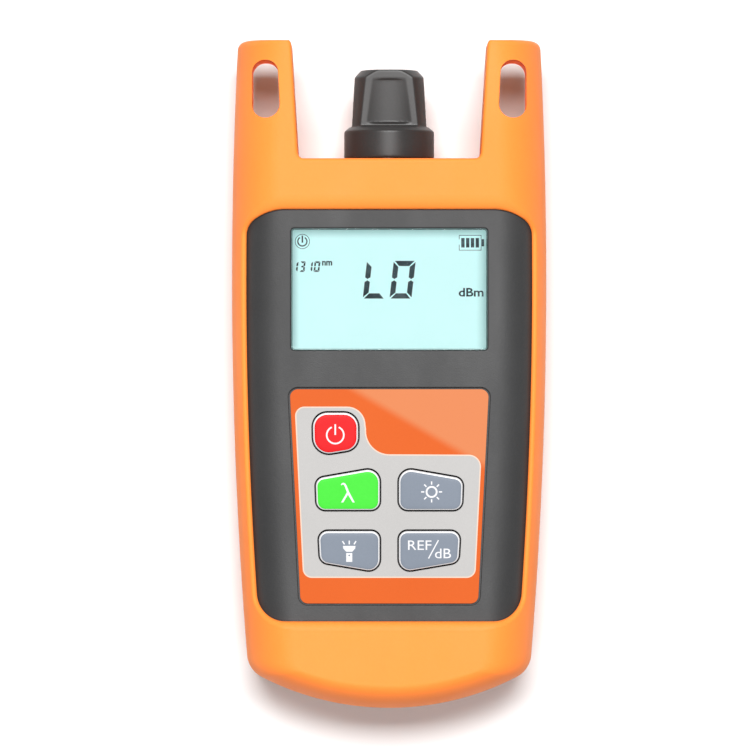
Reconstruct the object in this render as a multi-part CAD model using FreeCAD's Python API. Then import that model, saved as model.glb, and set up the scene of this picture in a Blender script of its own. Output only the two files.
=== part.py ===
"""Handheld optical power meter: a two-shell instrument case in a soft protective boot.

Millimetres.  The meter lies on its back.  +Z points out of the display, +Y points out of
the optical port and between the boot's two ears, and +X is to the right of the display.
The origin is the middle of the boot's outline, on the surface that the meter lies on.
"""
import FreeCAD, Part

import math
import os

V = FreeCAD.Vector
X_AXIS = V(1, 0, 0)
Y_AXIS = V(0, 1, 0)
Z_AXIS = V(0, 0, 1)

# ---- Display and key panel: they set the length of the meter's face ----
DISPLAY_W = 37.1
DISPLAY_H = 23.0
DISPLAY_CORNER_R = 0.6
DISPLAY_GAP = 3.6          # from the window's top edge
PANEL_GAP = 7.4            # between display and key panel
PANEL_H = 40.45
PANEL_TOP_W = 37.6
PANEL_END_W = 33.5
PANEL_CORNER_R = 1.45
PANEL_END_GAP = 3.35       # from the window's lower edge
PANEL_T = 0.4
PANEL_SUNK = 0.2           # panel face below the case face
PANEL_FIT = 0.28

# ---- Boot ----
WIDTH = 60.0
SIDE_R = 890.0             # the sides are long shallow arcs
WIDEST_FROM_TOP = 45.5     # from the ear tips to the widest place
END_R = 53.0               # the lower end is one wide arc
END_CORNER_R = 5.0
SIDE_ROLL = 9.5            # how far in from the side the front edge starts to roll
END_ROLL = 5.0
FRONT_ROLL_H = 13.0        # how far down the front roll reaches
BACK_ROLL = 4.5
SIDE_WALL = 2.4
END_WALL = 4.0
TOP_WALL = 2.9
FRONT_LIP = 1.8
BACK_LIP = 1.6
BOOT_FIT = 0.1
BOOT_HOLE_FIT = 0.4
TOP_BAND = 9.6             # between the notch and the face window
END_BAND = 17.0            # below the face window
WINDOW_INSET = 2.94        # from the boot's side to the face window
WINDOW_TOP_R = 10.4        # first, flatter part of the window's upper corner
WINDOW_TOP_TURN = 34.0     # degrees that it turns
WINDOW_SIDE_R = 3.8        # second, tighter part
WINDOW_END_R = 5.3
LIP_TOP_ROLL = 2.8         # rounding of the face window's upper lip
LIP_END_ROLL = 1.8         # and of its sides and lower lip
LIP_ROLL_H = 1.4
BACK_WINDOW_INSET = 8.4
BACK_WINDOW_TOP_BAND = 11.2
BACK_WINDOW_END_BAND = 9.5
BACK_WINDOW_R = 4.0

# ---- Ears and the notch between them ----
NOTCH_DEPTH = 22.6
NOTCH_FLOOR_W = 34.4
NOTCH_MOUTH_W = 36.6
NOTCH_CORNER_R = 1.0
EAR_INNER_R = 1.3
EAR_OUTER_R = 1.9
EAR_T = 14.5               # ear plate, flush with the front
EAR_TIP_ROLL = 0.8
EAR_EDGE = 0.7             # rounding of the notch at the front
ROLL_STEPS = 5             # facets across a wide edge roll
SMALL_ROLL_STEPS = 3
SMALL_ROLL = 5.0
SLOT_FROM_TIP = 9.45       # ear tip to the slot's middle
SLOT_L = 10.95
SLOT_W = 5.1
SLOT_TAPER = 0.5
SLOT_ROUND = 0.48          # corner radius as a share of the slot's width
SLOT_MARGIN = 4.15         # between the slot and the ear's outer side at its tip

# ---- Case ----
CASE_WALL = 2.2
CASE_END_CORNER_R = 4.5
CASE_TOP_CORNER_R = 3.0
CASE_SIDE_ROLL = 7.2
CASE_END_ROLL = 4.0
CASE_TOP_ROLL = 2.2
CASE_FRONT_ROLL_H = 6.0
CASE_BACK_ROLL = 2.0
TAB_H = 2.0                # locating tabs of the rear shell, inside the front one's wall
TAB_T = 1.0
TAB_W = 8.0
TAB_FIT = 0.1
TAB_ROOT = 3.0
TAB_SPREAD = 17.0          # between a tab and the middle of the case
RIB_T = 1.2

# ---- Display stack ----
LENS_FLANGE_T = 1.5
LENS_FLANGE = 0.9
LENS_SUNK = 0.5
LENS_FIT = 0.08
LCD_T = 1.9
LCD_MARGIN = 2.2
BACKLIGHT_T = 2.0
ZEBRA_W = 1.6
ZEBRA_FIT = 0.2
LCD_FRAME_T = 1.0
LCD_FRAME_FIT = 0.15

# ---- Keys: corner points as share of the panel's half width at its top, distance below
# the panel's top edge, and corner radius ----
KEY_CORNERS = {
    "power": [(-0.786, 4.10, 2.5), (-0.778, 13.00, 2.9), (-0.297, 11.54, 2.5), (-0.297, 4.10, 2.6)],
    "wavelength": [(-0.757, 16.60, 2.0), (-0.745, 23.09, 2.0), (-0.080, 23.09, 2.0), (-0.080, 14.38, 2.6)],
    "torch": [(-0.729, 26.45, 2.0), (-0.710, 32.92, 2.0), (-0.080, 34.93, 2.4), (-0.080, 26.45, 1.9)],
}
MIRRORED_KEYS = {"backlight": "wavelength", "reference": "torch"}
KEY_FIT = 0.3              # running gap round each key
KEY_PROUD = 1.0            # key top above the case face
KEY_EDGE = 0.45
KEY_FLANGE = 0.6
KEY_FLANGE_T = 1.0
KEY_FLANGE_GAP = 0.1
SWITCH_W = 6.0             # tact switch under each key
SWITCH_H = 3.4
SWITCH_BORE = 2.0
PLUNGER_R = 1.2
PLUNGER_FIT = 0.05
PLUNGER_L = 2.3

# ---- Board ----
BOARD_T = 1.4
BOARD_GAP = 0.4
BOARD_SIDE_GAP = 1.2
BOARD_END_GAP = 2.4
BOARD_TOP_GAP = 6.0

# ---- Cells, well and door ----
CELL_R = 5.25
CELL_L = 44.5
CELL_NUB_R = 1.9
CELL_NUB_H = 0.8
CELL_GAP = 0.3
CELL_PITCH_GAP = 0.5
CELL_COUNT = 3
SPRING_L = 4.0
SPRING_T = 0.3
SPRING_W = 5.0
SPRING_H = 7.0
CONTACT_T = 0.4
CONTACT_W = 8.0
CONTACT_TAB_W = 2.2
WELL_WALL = 1.2
WELL_FLOOR_T = 1.0
WELL_FLOOR_GAP = 0.2
WELL_END_GAP = 2.6         # well to the case's lower end wall
DOOR_T = 1.2
DOOR_LEDGE = 2.0
DOOR_END_LEDGE = 1.2
DOOR_FIT = 0.2
DOOR_CORNER_R = 1.6
DOOR_PIVOT_RISE = 0.7      # hinge axis above the case's back face
DOOR_PIN_R = 0.4
DOOR_PIN_L = 1.0
DOOR_PIN_FIT = 0.05
DOOR_TURN_FIT = 0.3
DOOR_RIM_T = 1.0
DOOR_RIM_FIT = 0.3
FINGER_W = 9.0
FINGER_R = 4.0
FINGER_DEPTH = 1.0
GRIP_COUNT = 4
GRIP_PITCH = 2.0
GRIP_R = 0.9
GRIP_DEPTH = 0.35
GRIP_L = 12.0
GRIP_FROM_END = 4.5

# ---- Screws and their bosses ----
BOSS_R = 2.9
BOSS_IN_WALL = 1.1         # how far a boss runs into the side wall
BOSS_TOP_DROP = 1.9        # upper pair: below the upper end wall
BOSS_END_UP = 8.0          # lower pair: above the well's lower end
SCREW_R = 1.1
SCREW_HEAD_R = 1.8
SCREW_HEAD_H = 1.5
SCREW_FIT = 0.2
SCREW_BITE = 7.0
SCREW_SEAT_T = 2.0
PILOT_FIT = 0.02
PILOT_SPARE = 0.8
BOSS_SKIN = 1.0            # case skin left over a boss
BOARD_BOSS_R = 1.9
BOARD_SCREW_R = 0.8
BOARD_HEAD_R = 1.6
BOARD_HEAD_H = 1.2
BOARD_SCREW_L = 5.0
BOARD_BOSS_EDGE = 2.3      # board boss in from the board's edge
BOARD_BOSS_LOWER = 27.0    # below the panel's top edge

# ---- Optical port ----
PORT_FLANGE_R = 7.5
PORT_FLANGE_T = 1.5
PORT_R = 5.0
PORT_RISE = 3.3            # barrel above the notch floor
PORT_FIT = 0.1
PORT_REAR_BORE_R = 4.5
PORT_STEP = 3.2            # rear bore's end, outside the case end wall
ADAPTER_R = 6.8
ADAPTER_LIFT = 0.5
ADAPTER_TOP_T = 1.1
ADAPTER_THREAD_FIT = 0.04
NOSE_R = 2.9
NOSE_H = 7.0
NOSE_TUBE_R = 2.1
NOSE_TUBE_L = 3.0
FERRULE_R = 1.25
FERRULE_FIT = 0.01
SLEEVE_R = 1.6
SLEEVE_FIT = 0.02
HOLDER_FIT = 0.05
CAN_R = 2.35
CAN_H = 3.2
CAN_HEADER_R = 2.7
CAN_HEADER_T = 0.6
CAN_GAP = 2.3              # photodetector window to the ferrule's end
LEAD_W = 0.45
LEAD_RING_R = 1.27

# ---- Dust cap ----
CAP_LIFT = 0.3             # collar above the notch floor
CAP_COLLAR_R = 8.6
CAP_COLLAR_H = 5.5
CAP_COLLAR_EDGE = 0.8
CAP_BASE_R = 7.5
CAP_TIP_R = 6.77
CAP_H = 17.2
CAP_TIP_EDGE_R = 1.22
CAP_TIP_EDGE_H = 1.47
CAP_FLAT = 5.05            # three flats, this far from the cap's axis
CAP_FLAT_COUNT = 3
CAP_GRIP_FIT = 0.05
CAP_NOSE_FIT = 0.3
CAP_SCOOP_W = 8.6          # finger scoop in each flat, narrower towards the tip
CAP_SCOOP_DEPTH = 0.6
CAP_SCOOP_TIP_DEPTH = 0.33
CAP_SCOOP_FROM_FLAT = 0.6
CAP_SCOOP_H = 8.4

# ---- Torch ----
TORCH_X = 12.6
TORCH_LENS_R = 2.5
TORCH_FLANGE_R = 3.1
TORCH_FLANGE_T = 0.8
TORCH_LENS_SUNK = 0.5
TORCH_LED_R = 1.5
TORCH_LED_L = 4.2
TORCH_LED_RIM = 0.4
TORCH_LED_GAP = 0.1
LEAD_IN = 1.2              # leads end this far inside the board's edge

# ---- Parts on the back of the board ----
CHIP_T = 1.4
CHIP_W = 10.0
CHIP_PIN_T = 0.25
CHIP_PIN_W = 0.5
CHIP_PIN_L = 0.9
CHIP_PITCH = 1.27
CHIP_PINS = 4
AMP_W = 5.0
AMP_L = 4.0
CRYSTAL_R = 1.5
CRYSTAL_L = 8.0
CAPACITOR_R = 2.5
CAPACITOR_H = 6.0

# ---- Levels, worked out from the stack of pieces, back to front ----
Z_CASE_BACK = BACK_LIP
Z_DOOR_IN = Z_CASE_BACK + DOOR_T
Z_BACK_IN = Z_CASE_BACK + CASE_WALL
Z_CELL = Z_BACK_IN + CELL_GAP + CELL_R
Z_WELL_IN = Z_CELL + CELL_R + WELL_FLOOR_GAP
Z_WELL_TOP = Z_WELL_IN + WELL_FLOOR_T
Z_BOARD = Z_WELL_TOP + BOARD_GAP
Z_BOARD_TOP = Z_BOARD + BOARD_T
Z_LCD = Z_BOARD_TOP + BACKLIGHT_T
Z_LENS = Z_LCD + LCD_T
Z_FRONT_IN = Z_LENS + LENS_FLANGE_T
Z_FACE = Z_FRONT_IN + CASE_WALL
THICK = Z_FACE + FRONT_LIP
Z_PORT = THICK / 2         # the port's axis and the split between the shells
Z_PANEL = Z_FACE - PANEL_SUNK - PANEL_T
Z_KEY_TOP = Z_FACE + KEY_PROUD
Z_KEY_FLANGE = Z_FRONT_IN - KEY_FLANGE_GAP - KEY_FLANGE_T
Z_SWITCH_TOP = Z_BOARD_TOP + SWITCH_H

# ---- Places along the meter, from the ear tips down ----
LENGTH = (NOTCH_DEPTH + TOP_BAND + DISPLAY_GAP + DISPLAY_H + PANEL_GAP + PANEL_H
          + PANEL_END_GAP + END_BAND)
Y_TIP = LENGTH / 2
Y_NOTCH = Y_TIP - NOTCH_DEPTH
Y_WINDOW_TOP = Y_NOTCH - TOP_BAND
Y_DISPLAY = Y_WINDOW_TOP - DISPLAY_GAP - DISPLAY_H / 2
Y_DISPLAY_END = Y_DISPLAY - DISPLAY_H / 2
Y_PANEL_TOP = Y_DISPLAY_END - PANEL_GAP
Y_PANEL_END = Y_PANEL_TOP - PANEL_H
Y_WINDOW_END = Y_PANEL_END - PANEL_END_GAP
Y_END = -LENGTH / 2
Y_WIDEST = Y_TIP - WIDEST_FROM_TOP
Y_CASE_TOP = Y_NOTCH - TOP_WALL
Y_TOP_IN = Y_CASE_TOP - CASE_WALL

SIDE_C = V(WIDTH / 2 - SIDE_R, Y_WIDEST, 0)     # centre of the right side's arc
END_C = V(0, Y_END + END_R, 0)                  # centre of the lower end's arc


def side_x(y, inset):
    """Half width at y of the outline moved in from the boot's side by inset."""
    radius = SIDE_R - inset
    return SIDE_C.x + math.sqrt(radius ** 2 - (y - Y_WIDEST) ** 2)


def end_y(x, inset):
    """Y at x of the lower end's arc moved in by inset."""
    return END_C.y - math.sqrt((END_R - inset) ** 2 - x ** 2)


# The well lies as far down the case as its corners allow.
WELL_HALF_W = (CELL_COUNT * 2 * CELL_R + (CELL_COUNT - 1) * CELL_PITCH_GAP) / 2 + CELL_GAP
WELL_L = CELL_L + SPRING_L + 2 * CONTACT_T
Y_WELL_END = end_y(WELL_HALF_W + WELL_WALL, END_WALL + CASE_WALL) + WELL_WALL + WELL_END_GAP
Y_WELL_TOP = Y_WELL_END + WELL_L
Y_DOOR_END = Y_WELL_END - DOOR_END_LEDGE
Y_DOOR_TOP = Y_WELL_TOP + DOOR_LEDGE
DOOR_HALF_W = WELL_HALF_W + DOOR_LEDGE
Y_BOSS_TOP = Y_TOP_IN - BOSS_TOP_DROP - BOSS_R / 2
Y_BOSS_END = Y_WELL_END + BOSS_END_UP
SCREW_PLACES = [(sign * (side_x(y, SIDE_WALL + CASE_WALL) - BOSS_R + BOSS_IN_WALL), y)
                for y in (Y_BOSS_TOP, Y_BOSS_END) for sign in (-1, 1)]
BOARD_INSET = SIDE_WALL + CASE_WALL + BOARD_SIDE_GAP
Y_BOARD_TOP = Y_TOP_IN - BOARD_TOP_GAP
Y_BOARD_END = end_y(WELL_HALF_W, END_WALL + CASE_WALL + BOARD_END_GAP)
Y_BOARD_SCREW = Y_PANEL_TOP - BOARD_BOSS_LOWER
BOARD_SCREW_PLACES = [(sign * (side_x(Y_BOARD_SCREW, BOARD_INSET) - BOARD_BOSS_EDGE), Y_BOARD_SCREW)
                      for sign in (-1, 1)]


# ---------------------------------------------------------------- helpers

def lifted(point, z):
    return V(point.x, point.y, z)


def arc(start, end, centre):
    """Arc edge from start to end round centre, the short way."""
    radius = (start - centre).Length
    middle = (start + end) * 0.5 - centre
    middle.z = 0
    middle.normalize()
    return Part.Arc(start, lifted(centre, start.z) + middle * radius, end).toShape()


def line(start, end):
    return Part.LineSegment(start, end).toShape()


def outline(corners, grow=0.0, z=0.0):
    """Closed wire through convex counter-clockwise corners (x, y, radius), grown by grow."""
    count = len(corners)
    points = [V(c[0], c[1], z) for c in corners]
    normals = []
    for i in range(count):
        along = points[(i + 1) % count] - points[i]
        normals.append(V(along.y, -along.x, 0).normalize())
    starts, ends, centres = [], [], []
    for i in range(count):
        before, after = normals[i - 1], normals[i]
        bisector = before + after
        bisector.normalize()
        reach = 1.0 / bisector.dot(after)
        corner = points[i] + bisector * (grow * reach)
        radius = max(corners[i][2] + grow, 0.0)
        centre = corner - bisector * (radius * reach)
        centres.append(centre)
        starts.append(centre + before * radius)
        ends.append(centre + after * radius)
    edges = []
    for i in range(count):
        if (ends[i] - starts[i]).Length > 1e-6:
            middle = centres[i] + (normals[i - 1] + normals[i]).normalize() * (
                (starts[i] - centres[i]).Length)
            edges.append(Part.Arc(starts[i], middle, ends[i]).toShape())
        edges.append(line(ends[i], starts[(i + 1) % count]))
    return Part.Wire(edges)


def prism(wire, height):
    return Part.Face(wire).extrude(V(0, 0, height))


def rectangle(x0, y0, x1, y1, radius=0.0):
    """Counter-clockwise corners for outline()."""
    return [(x0, y0, radius), (x1, y0, radius), (x1, y1, radius), (x0, y1, radius)]


def block(x0, x1, y0, y1, z0, z1):
    return Part.makeBox(x1 - x0, y1 - y0, z1 - z0, V(x0, y0, z0))


def post(x, y, z0, z1, radius):
    return Part.makeCylinder(radius, z1 - z0, V(x, y, z0), Z_AXIS)


def rod(y0, y1, radius, x=0.0, z=None):
    """Cylinder along +Y, on the port's axis unless placed."""
    return Part.makeCylinder(radius, y1 - y0, V(x, y0, Z_PORT if z is None else z), Y_AXIS)


def turned(profile, x=0.0, z=None):
    """Solid turned about an axis along Y from points (y, radius), on the port's axis
    unless placed."""
    level = Z_PORT if z is None else z
    points = [V(x + r, y, level) for y, r in profile]
    points.append(points[0])
    return Part.Face(Part.makePolygon(points)).revolve(V(x, 0, level), Y_AXIS, 360)


def mirrored(shape):
    return shape.mirror(V(0, 0, 0), X_AXIS)


def fused(shapes):
    """One shape from several that touch, without the seams between them."""
    whole = shapes[0].fuse(shapes[1:]).removeSplitter()
    return whole.Solids[0] if len(whole.Solids) == 1 else whole


# ---------------------------------------------------------------- body outline

def body_wire(z, side, end, top, end_r, top_r):
    """The body's plan outline at z: two side arcs, the end arc and a straight top.

    side and end move those arcs in, top is the straight edge's y, and end_r and top_r
    round the corners.
    """
    side_r = SIDE_R - side
    end_arc_r = END_R - end
    centre = V(SIDE_C.x, SIDE_C.y, z)
    end_centre = V(0, END_C.y, z)
    # Lower corner: its centre is end_r inside both arcs.
    reach = end_centre - centre
    gap = reach.Length
    a, b = side_r - end_r, end_arc_r - end_r
    along = (a ** 2 - b ** 2 + gap ** 2) / (2 * gap)
    off = math.sqrt(a ** 2 - along ** 2)
    unit = reach * (1 / gap)
    low = centre + unit * along + V(unit.y, -unit.x, 0) * off
    low_side = centre + (low - centre) * (side_r / a)
    low_end = end_centre + (low - end_centre) * (end_arc_r / b)
    # Upper corner: its centre is top_r inside the side arc and the straight edge.
    high_y = top - top_r
    high = V(centre.x + math.sqrt((side_r - top_r) ** 2 - (high_y - centre.y) ** 2), high_y, z)
    high_side = centre + (high - centre) * (side_r / (side_r - top_r))
    high_top = V(high.x, top, z)
    flip = lambda p: V(-p.x, p.y, p.z)
    edges = [
        line(flip(high_top), high_top),
        arc(high_top, high_side, high),
        arc(high_side, low_side, centre),
        arc(low_side, low_end, low),
        arc(low_end, flip(low_end), end_centre),
        arc(flip(low_end), flip(low_side), flip(low)),
        arc(flip(low_side), flip(high_side), flip(centre)),
        arc(flip(high_side), flip(high_top), flip(high)),
    ]
    return Part.Wire(edges)


def roll_loft(z_wide, z_narrow, side, end, top, rolls, end_r, top_r):
    """Edge roll: quarter-ellipse sections from full width at z_wide to narrowed at z_narrow.

    rolls gives how far the side, end and top have moved in at z_narrow.  The loft is
    ruled between close sections, which keeps its facets few.
    """
    side_roll, end_roll, top_roll = rolls
    steps = ROLL_STEPS if max(rolls) > SMALL_ROLL else SMALL_ROLL_STEPS
    wires = []
    for step in range(steps + 1):
        angle = math.pi / 2 * step / steps
        share = 1 - math.cos(angle)
        wires.append(body_wire(
            z_wide + (z_narrow - z_wide) * math.sin(angle),
            side + side_roll * share,
            end + end_roll * share,
            top - top_roll * share,
            end_r * (1 - 0.6 * share),
            top_r * (1 - 0.4 * share)))
    if z_narrow < z_wide:
        wires.reverse()
    return Part.makeLoft(wires, True, True)


def rolled_back(side, end, top, z0, z1, roll, end_r, top_r):
    """Lower part of a body: upright sides down to an edge roll round its back face."""
    if not roll:
        return prism(body_wire(z0, side, end, top, end_r, top_r), z1 - z0)
    walls = prism(body_wire(z0 + roll, side, end, top, end_r, top_r), z1 - z0 - roll)
    return fused([walls, roll_loft(z0 + roll, z0, side, end, top, (roll,) * 3, end_r, top_r)])


def rolled_front(side, end, top, z0, z1, rolls, roll_h, end_r, top_r):
    """Upper part of a body: upright sides, then an edge roll of height roll_h to its face."""
    walls = prism(body_wire(z0, side, end, top, end_r, top_r), z1 - roll_h - z0)
    return fused([walls, roll_loft(z1 - roll_h, z1, side, end, top, rolls, end_r, top_r)])


def case_place(grow):
    """Plan of the case, grown all round by grow: side and end insets, top and corners."""
    return (SIDE_WALL - grow, END_WALL - grow, Y_CASE_TOP + grow)


def case_corners(grow):
    return (CASE_END_CORNER_R + grow, CASE_TOP_CORNER_R + grow)


def case_back_half(grow):
    roll = max(CASE_BACK_ROLL + grow, 0)
    return rolled_back(*case_place(grow), Z_CASE_BACK - grow, Z_PORT, roll, *case_corners(grow))


def case_front_half(grow):
    rolls = [max(roll + grow, 0) for roll in (CASE_SIDE_ROLL, CASE_END_ROLL, CASE_TOP_ROLL)]
    return rolled_front(*case_place(grow), Z_PORT, Z_FACE + grow, rolls,
                        CASE_FRONT_ROLL_H + grow, *case_corners(grow))


# ---------------------------------------------------------------- boot

def window_wire(z, flare=0.0):
    """Face window: follows the sides, with a two-arc upper corner and a round lower one.

    flare is how much of the lip's rounding the outline has opened by.
    """
    up, out = LIP_TOP_ROLL * flare, LIP_END_ROLL * flare
    radius = SIDE_R - WINDOW_INSET + out
    centre = V(SIDE_C.x, SIDE_C.y, z)
    turn = math.radians(WINDOW_TOP_TURN)
    window_top, window_end = Y_WINDOW_TOP + up, Y_WINDOW_END - out
    wide_r, tight_r, end_r = WINDOW_TOP_R + up, WINDOW_SIDE_R + out, WINDOW_END_R + out
    between = wide_r - tight_r
    tight_y = window_top - wide_r + between * math.cos(turn)
    tight_x = centre.x + math.sqrt((radius - tight_r) ** 2 - (tight_y - centre.y) ** 2)
    tight = V(tight_x, tight_y, z)
    wide = V(tight_x - between * math.sin(turn), window_top - wide_r, z)
    top = V(wide.x, window_top, z)
    joint = wide + V(math.sin(turn), math.cos(turn), 0) * wide_r
    side_high = centre + (tight - centre) * (radius / (radius - tight_r))
    low_y = window_end + end_r
    low = V(centre.x + math.sqrt((radius - end_r) ** 2 - (low_y - centre.y) ** 2), low_y, z)
    side_low = centre + (low - centre) * (radius / (radius - end_r))
    end = V(low.x, window_end, z)
    flip = lambda p: V(-p.x, p.y, p.z)
    return Part.Wire([
        line(flip(top), top),
        arc(top, joint, wide),
        arc(joint, side_high, tight),
        arc(side_high, side_low, centre),
        arc(side_low, end, low),
        line(end, flip(end)),
        arc(flip(end), flip(side_low), flip(low)),
        arc(flip(side_low), flip(side_high), flip(centre)),
        arc(flip(side_high), flip(joint), flip(tight)),
        arc(flip(joint), flip(top), flip(wide)),
    ])


def back_window_wire(z):
    """Back window: shows the door and keeps the case's screws covered."""
    top = Y_CASE_TOP - BACK_WINDOW_TOP_BAND + TOP_WALL
    low = Y_END + BACK_WINDOW_END_BAND
    corners = [(-side_x(low, BACK_WINDOW_INSET), low, BACK_WINDOW_R),
               (side_x(low, BACK_WINDOW_INSET), low, BACK_WINDOW_R),
               (side_x(top, BACK_WINDOW_INSET), top, BACK_WINDOW_R),
               (-side_x(top, BACK_WINDOW_INSET), top, BACK_WINDOW_R)]
    return outline(corners, z=z)


def flared_cutter(wire_at, z0, z1, roll_h):
    """Upright cutter through wire_at(z, flare) that opens out over roll_h below z1."""
    cutter = prism(wire_at(z0, 0.0), z1 - roll_h - z0)
    sections = []
    for step in range(SMALL_ROLL_STEPS + 1):
        angle = math.pi / 2 * step / SMALL_ROLL_STEPS
        sections.append(wire_at(z1 - roll_h + roll_h * math.sin(angle), 1 - math.cos(angle)))
    return fused([cutter, Part.makeLoft(sections, True, True)])


def notch_wire(z, flare):
    grow = EAR_EDGE * flare
    floor, mouth = NOTCH_FLOOR_W / 2, NOTCH_MOUTH_W / 2
    lean = (mouth - floor) / NOTCH_DEPTH
    over = EAR_INNER_R * 2
    corners = [(-floor, Y_NOTCH, NOTCH_CORNER_R), (floor, Y_NOTCH, NOTCH_CORNER_R),
               (mouth + lean * over, Y_TIP + over, 0), (-mouth - lean * over, Y_TIP + over, 0)]
    return outline(corners, grow, z)


def ear_tip_cutter():
    """Rounds both ears' inner tips: a square of waste less the tip's quarter round."""
    mouth = NOTCH_MOUTH_W / 2 - EAR_EDGE
    middle = NOTCH_MOUTH_W / 2 + EAR_INNER_R
    low = Y_TIP - EAR_INNER_R
    square = block(mouth, middle, low, Y_TIP + EAR_INNER_R, -1, THICK + 1)
    cutter = square.cut(post(middle, low, -2, THICK + 2, EAR_INNER_R))
    return cutter.fuse(mirrored(cutter))


def slot_corners():
    """Right lanyard slot: straight outside, leaning inside with the ear's inner side."""
    outer = side_x(Y_TIP, 0) - SLOT_MARGIN + SLOT_W / 4
    low, high = Y_TIP - SLOT_FROM_TIP - SLOT_L / 2, Y_TIP - SLOT_FROM_TIP + SLOT_L / 2
    wide, narrow = SLOT_W + SLOT_TAPER / 2, SLOT_W - SLOT_TAPER / 2
    return [(outer - wide, low, wide * SLOT_ROUND), (outer, low, wide * SLOT_ROUND),
            (outer, high, narrow * SLOT_ROUND), (outer - narrow, high, narrow * SLOT_ROUND)]


def protective_boot():
    ear_back = THICK - EAR_T
    body = rolled_back(0, 0, Y_NOTCH, 0, ear_back, BACK_ROLL,
                       END_CORNER_R, EAR_OUTER_R + BACK_ROLL / 2)
    front = rolled_front(0, 0, Y_TIP, ear_back, THICK, (SIDE_ROLL, END_ROLL, EAR_TIP_ROLL),
                         FRONT_ROLL_H, END_CORNER_R, EAR_OUTER_R)
    boot = fused([body, front])
    slot = prism(outline(slot_corners(), z=-1), 2 * THICK)
    boot = boot.cut([flared_cutter(notch_wire, -1, THICK, EAR_EDGE), ear_tip_cutter()])
    boot = boot.cut([slot, mirrored(slot)])
    boot = boot.cut(fused([case_back_half(BOOT_FIT), case_front_half(BOOT_FIT)]))
    boot = boot.cut(flared_cutter(window_wire, Z_PORT, THICK, LIP_ROLL_H))
    boot = boot.cut(prism(back_window_wire(-1), Z_PORT))
    for x, radius in ((0, PORT_R), (TORCH_X, TORCH_LENS_R)):
        boot = boot.cut(rod(Y_TOP_IN, Y_NOTCH + 1, radius + BOOT_HOLE_FIT, x))
    return boot


# ---------------------------------------------------------------- case

def key_corners(name):
    """Counter-clockwise corners of a key's hole in the panel."""
    drops = KEY_CORNERS[MIRRORED_KEYS.get(name, name)]
    corners = [(share * PANEL_TOP_W / 2, Y_PANEL_TOP - drop, radius) for share, drop, radius in drops]
    if name in MIRRORED_KEYS:
        corners = [(-x, y, radius) for x, y, radius in reversed(corners)]
    return corners


KEY_NAMES = list(KEY_CORNERS) + list(MIRRORED_KEYS)


def key_middle(name):
    corners = key_corners(name)
    return (sum(c[0] for c in corners) / len(corners), sum(c[1] for c in corners) / len(corners))


def panel_corners():
    return [(-PANEL_END_W / 2, Y_PANEL_END, PANEL_CORNER_R),
            (PANEL_END_W / 2, Y_PANEL_END, PANEL_CORNER_R),
            (PANEL_TOP_W / 2, Y_PANEL_TOP, PANEL_CORNER_R),
            (-PANEL_TOP_W / 2, Y_PANEL_TOP, PANEL_CORNER_R)]


def display_corners():
    return rectangle(-DISPLAY_W / 2, Y_DISPLAY_END, DISPLAY_W / 2, Y_DISPLAY_END + DISPLAY_H,
                     DISPLAY_CORNER_R)


def lcd_corners(shorter=0.0):
    """The display module's outline, its lower edge drawn in by shorter."""
    return rectangle(-DISPLAY_W / 2 - LCD_MARGIN, Y_DISPLAY_END - LCD_MARGIN + shorter,
                     DISPLAY_W / 2 + LCD_MARGIN, Y_DISPLAY_END + DISPLAY_H + LCD_MARGIN)


def door_corners():
    return rectangle(-DOOR_HALF_W, Y_DOOR_END, DOOR_HALF_W, Y_DOOR_TOP, DOOR_CORNER_R)


def port_cradle(z0, z1):
    """Cross rib with a round notch, which backs up the port's flange."""
    y1 = Y_TOP_IN - PORT_FLANGE_T
    rib = block(-PORT_FLANGE_R - RIB_T, PORT_FLANGE_R + RIB_T, y1 - RIB_T, y1, z0, z1)
    return rib.cut(rod(y1 - 2 * RIB_T, y1 + 1, PORT_REAR_BORE_R + PORT_FIT))


def end_wall_holes():
    """Holes through the case's upper end wall for the port and the torch lens."""
    return [rod(Y_TOP_IN - 1, Y_CASE_TOP + 1, PORT_R + PORT_FIT),
            rod(Y_TOP_IN - 1, Y_CASE_TOP + 1, TORCH_LENS_R + PORT_FIT, TORCH_X)]


def front_case():
    outer = case_front_half(0)
    boss_top = Z_FACE - BOSS_SKIN
    additions = [post(x, y, Z_PORT, boss_top, BOSS_R) for x, y in SCREW_PLACES]
    additions += [post(x, y, Z_BOARD_TOP, boss_top, BOARD_BOSS_R) for x, y in BOARD_SCREW_PLACES]
    additions.append(port_cradle(Z_PORT, boss_top))
    frame_z = Z_BOARD_TOP + LCD_FRAME_FIT
    frame = prism(outline(lcd_corners(), LCD_FRAME_FIT + LCD_FRAME_T, frame_z), boss_top - frame_z)
    additions.append(frame.cut(prism(outline(lcd_corners(), LCD_FRAME_FIT, frame_z - 1), THICK)))
    shell = outer.cut(case_front_half(-CASE_WALL))
    case = shell.fuse([piece.common(outer) for piece in additions])
    cuts = [post(x, y, Z_PORT - 1, Z_PORT + SCREW_BITE + PILOT_SPARE, SCREW_R + PILOT_FIT)
             for x, y in SCREW_PLACES]
    cuts += [post(x, y, Z_BOARD_TOP - 1, Z_BOARD + BOARD_SCREW_L + PILOT_SPARE,
                  BOARD_SCREW_R + PILOT_FIT) for x, y in BOARD_SCREW_PLACES]
    cuts.append(prism(outline(display_corners(), z=Z_FRONT_IN - 1), THICK))
    cuts.append(prism(outline(panel_corners(), PANEL_FIT, Z_PANEL), THICK))
    cuts += [prism(outline(key_corners(name), z=Z_FRONT_IN - 1), THICK) for name in KEY_NAMES]
    cuts += end_wall_holes()
    for cutter in cuts:
        case = case.cut(cutter)
    return case.removeSplitter()


def fused_posts(places, z0, z1, radius):
    posts = [post(x, y, z0, z1, radius) for x, y in places]
    return posts[0].fuse(posts[1:])


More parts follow.
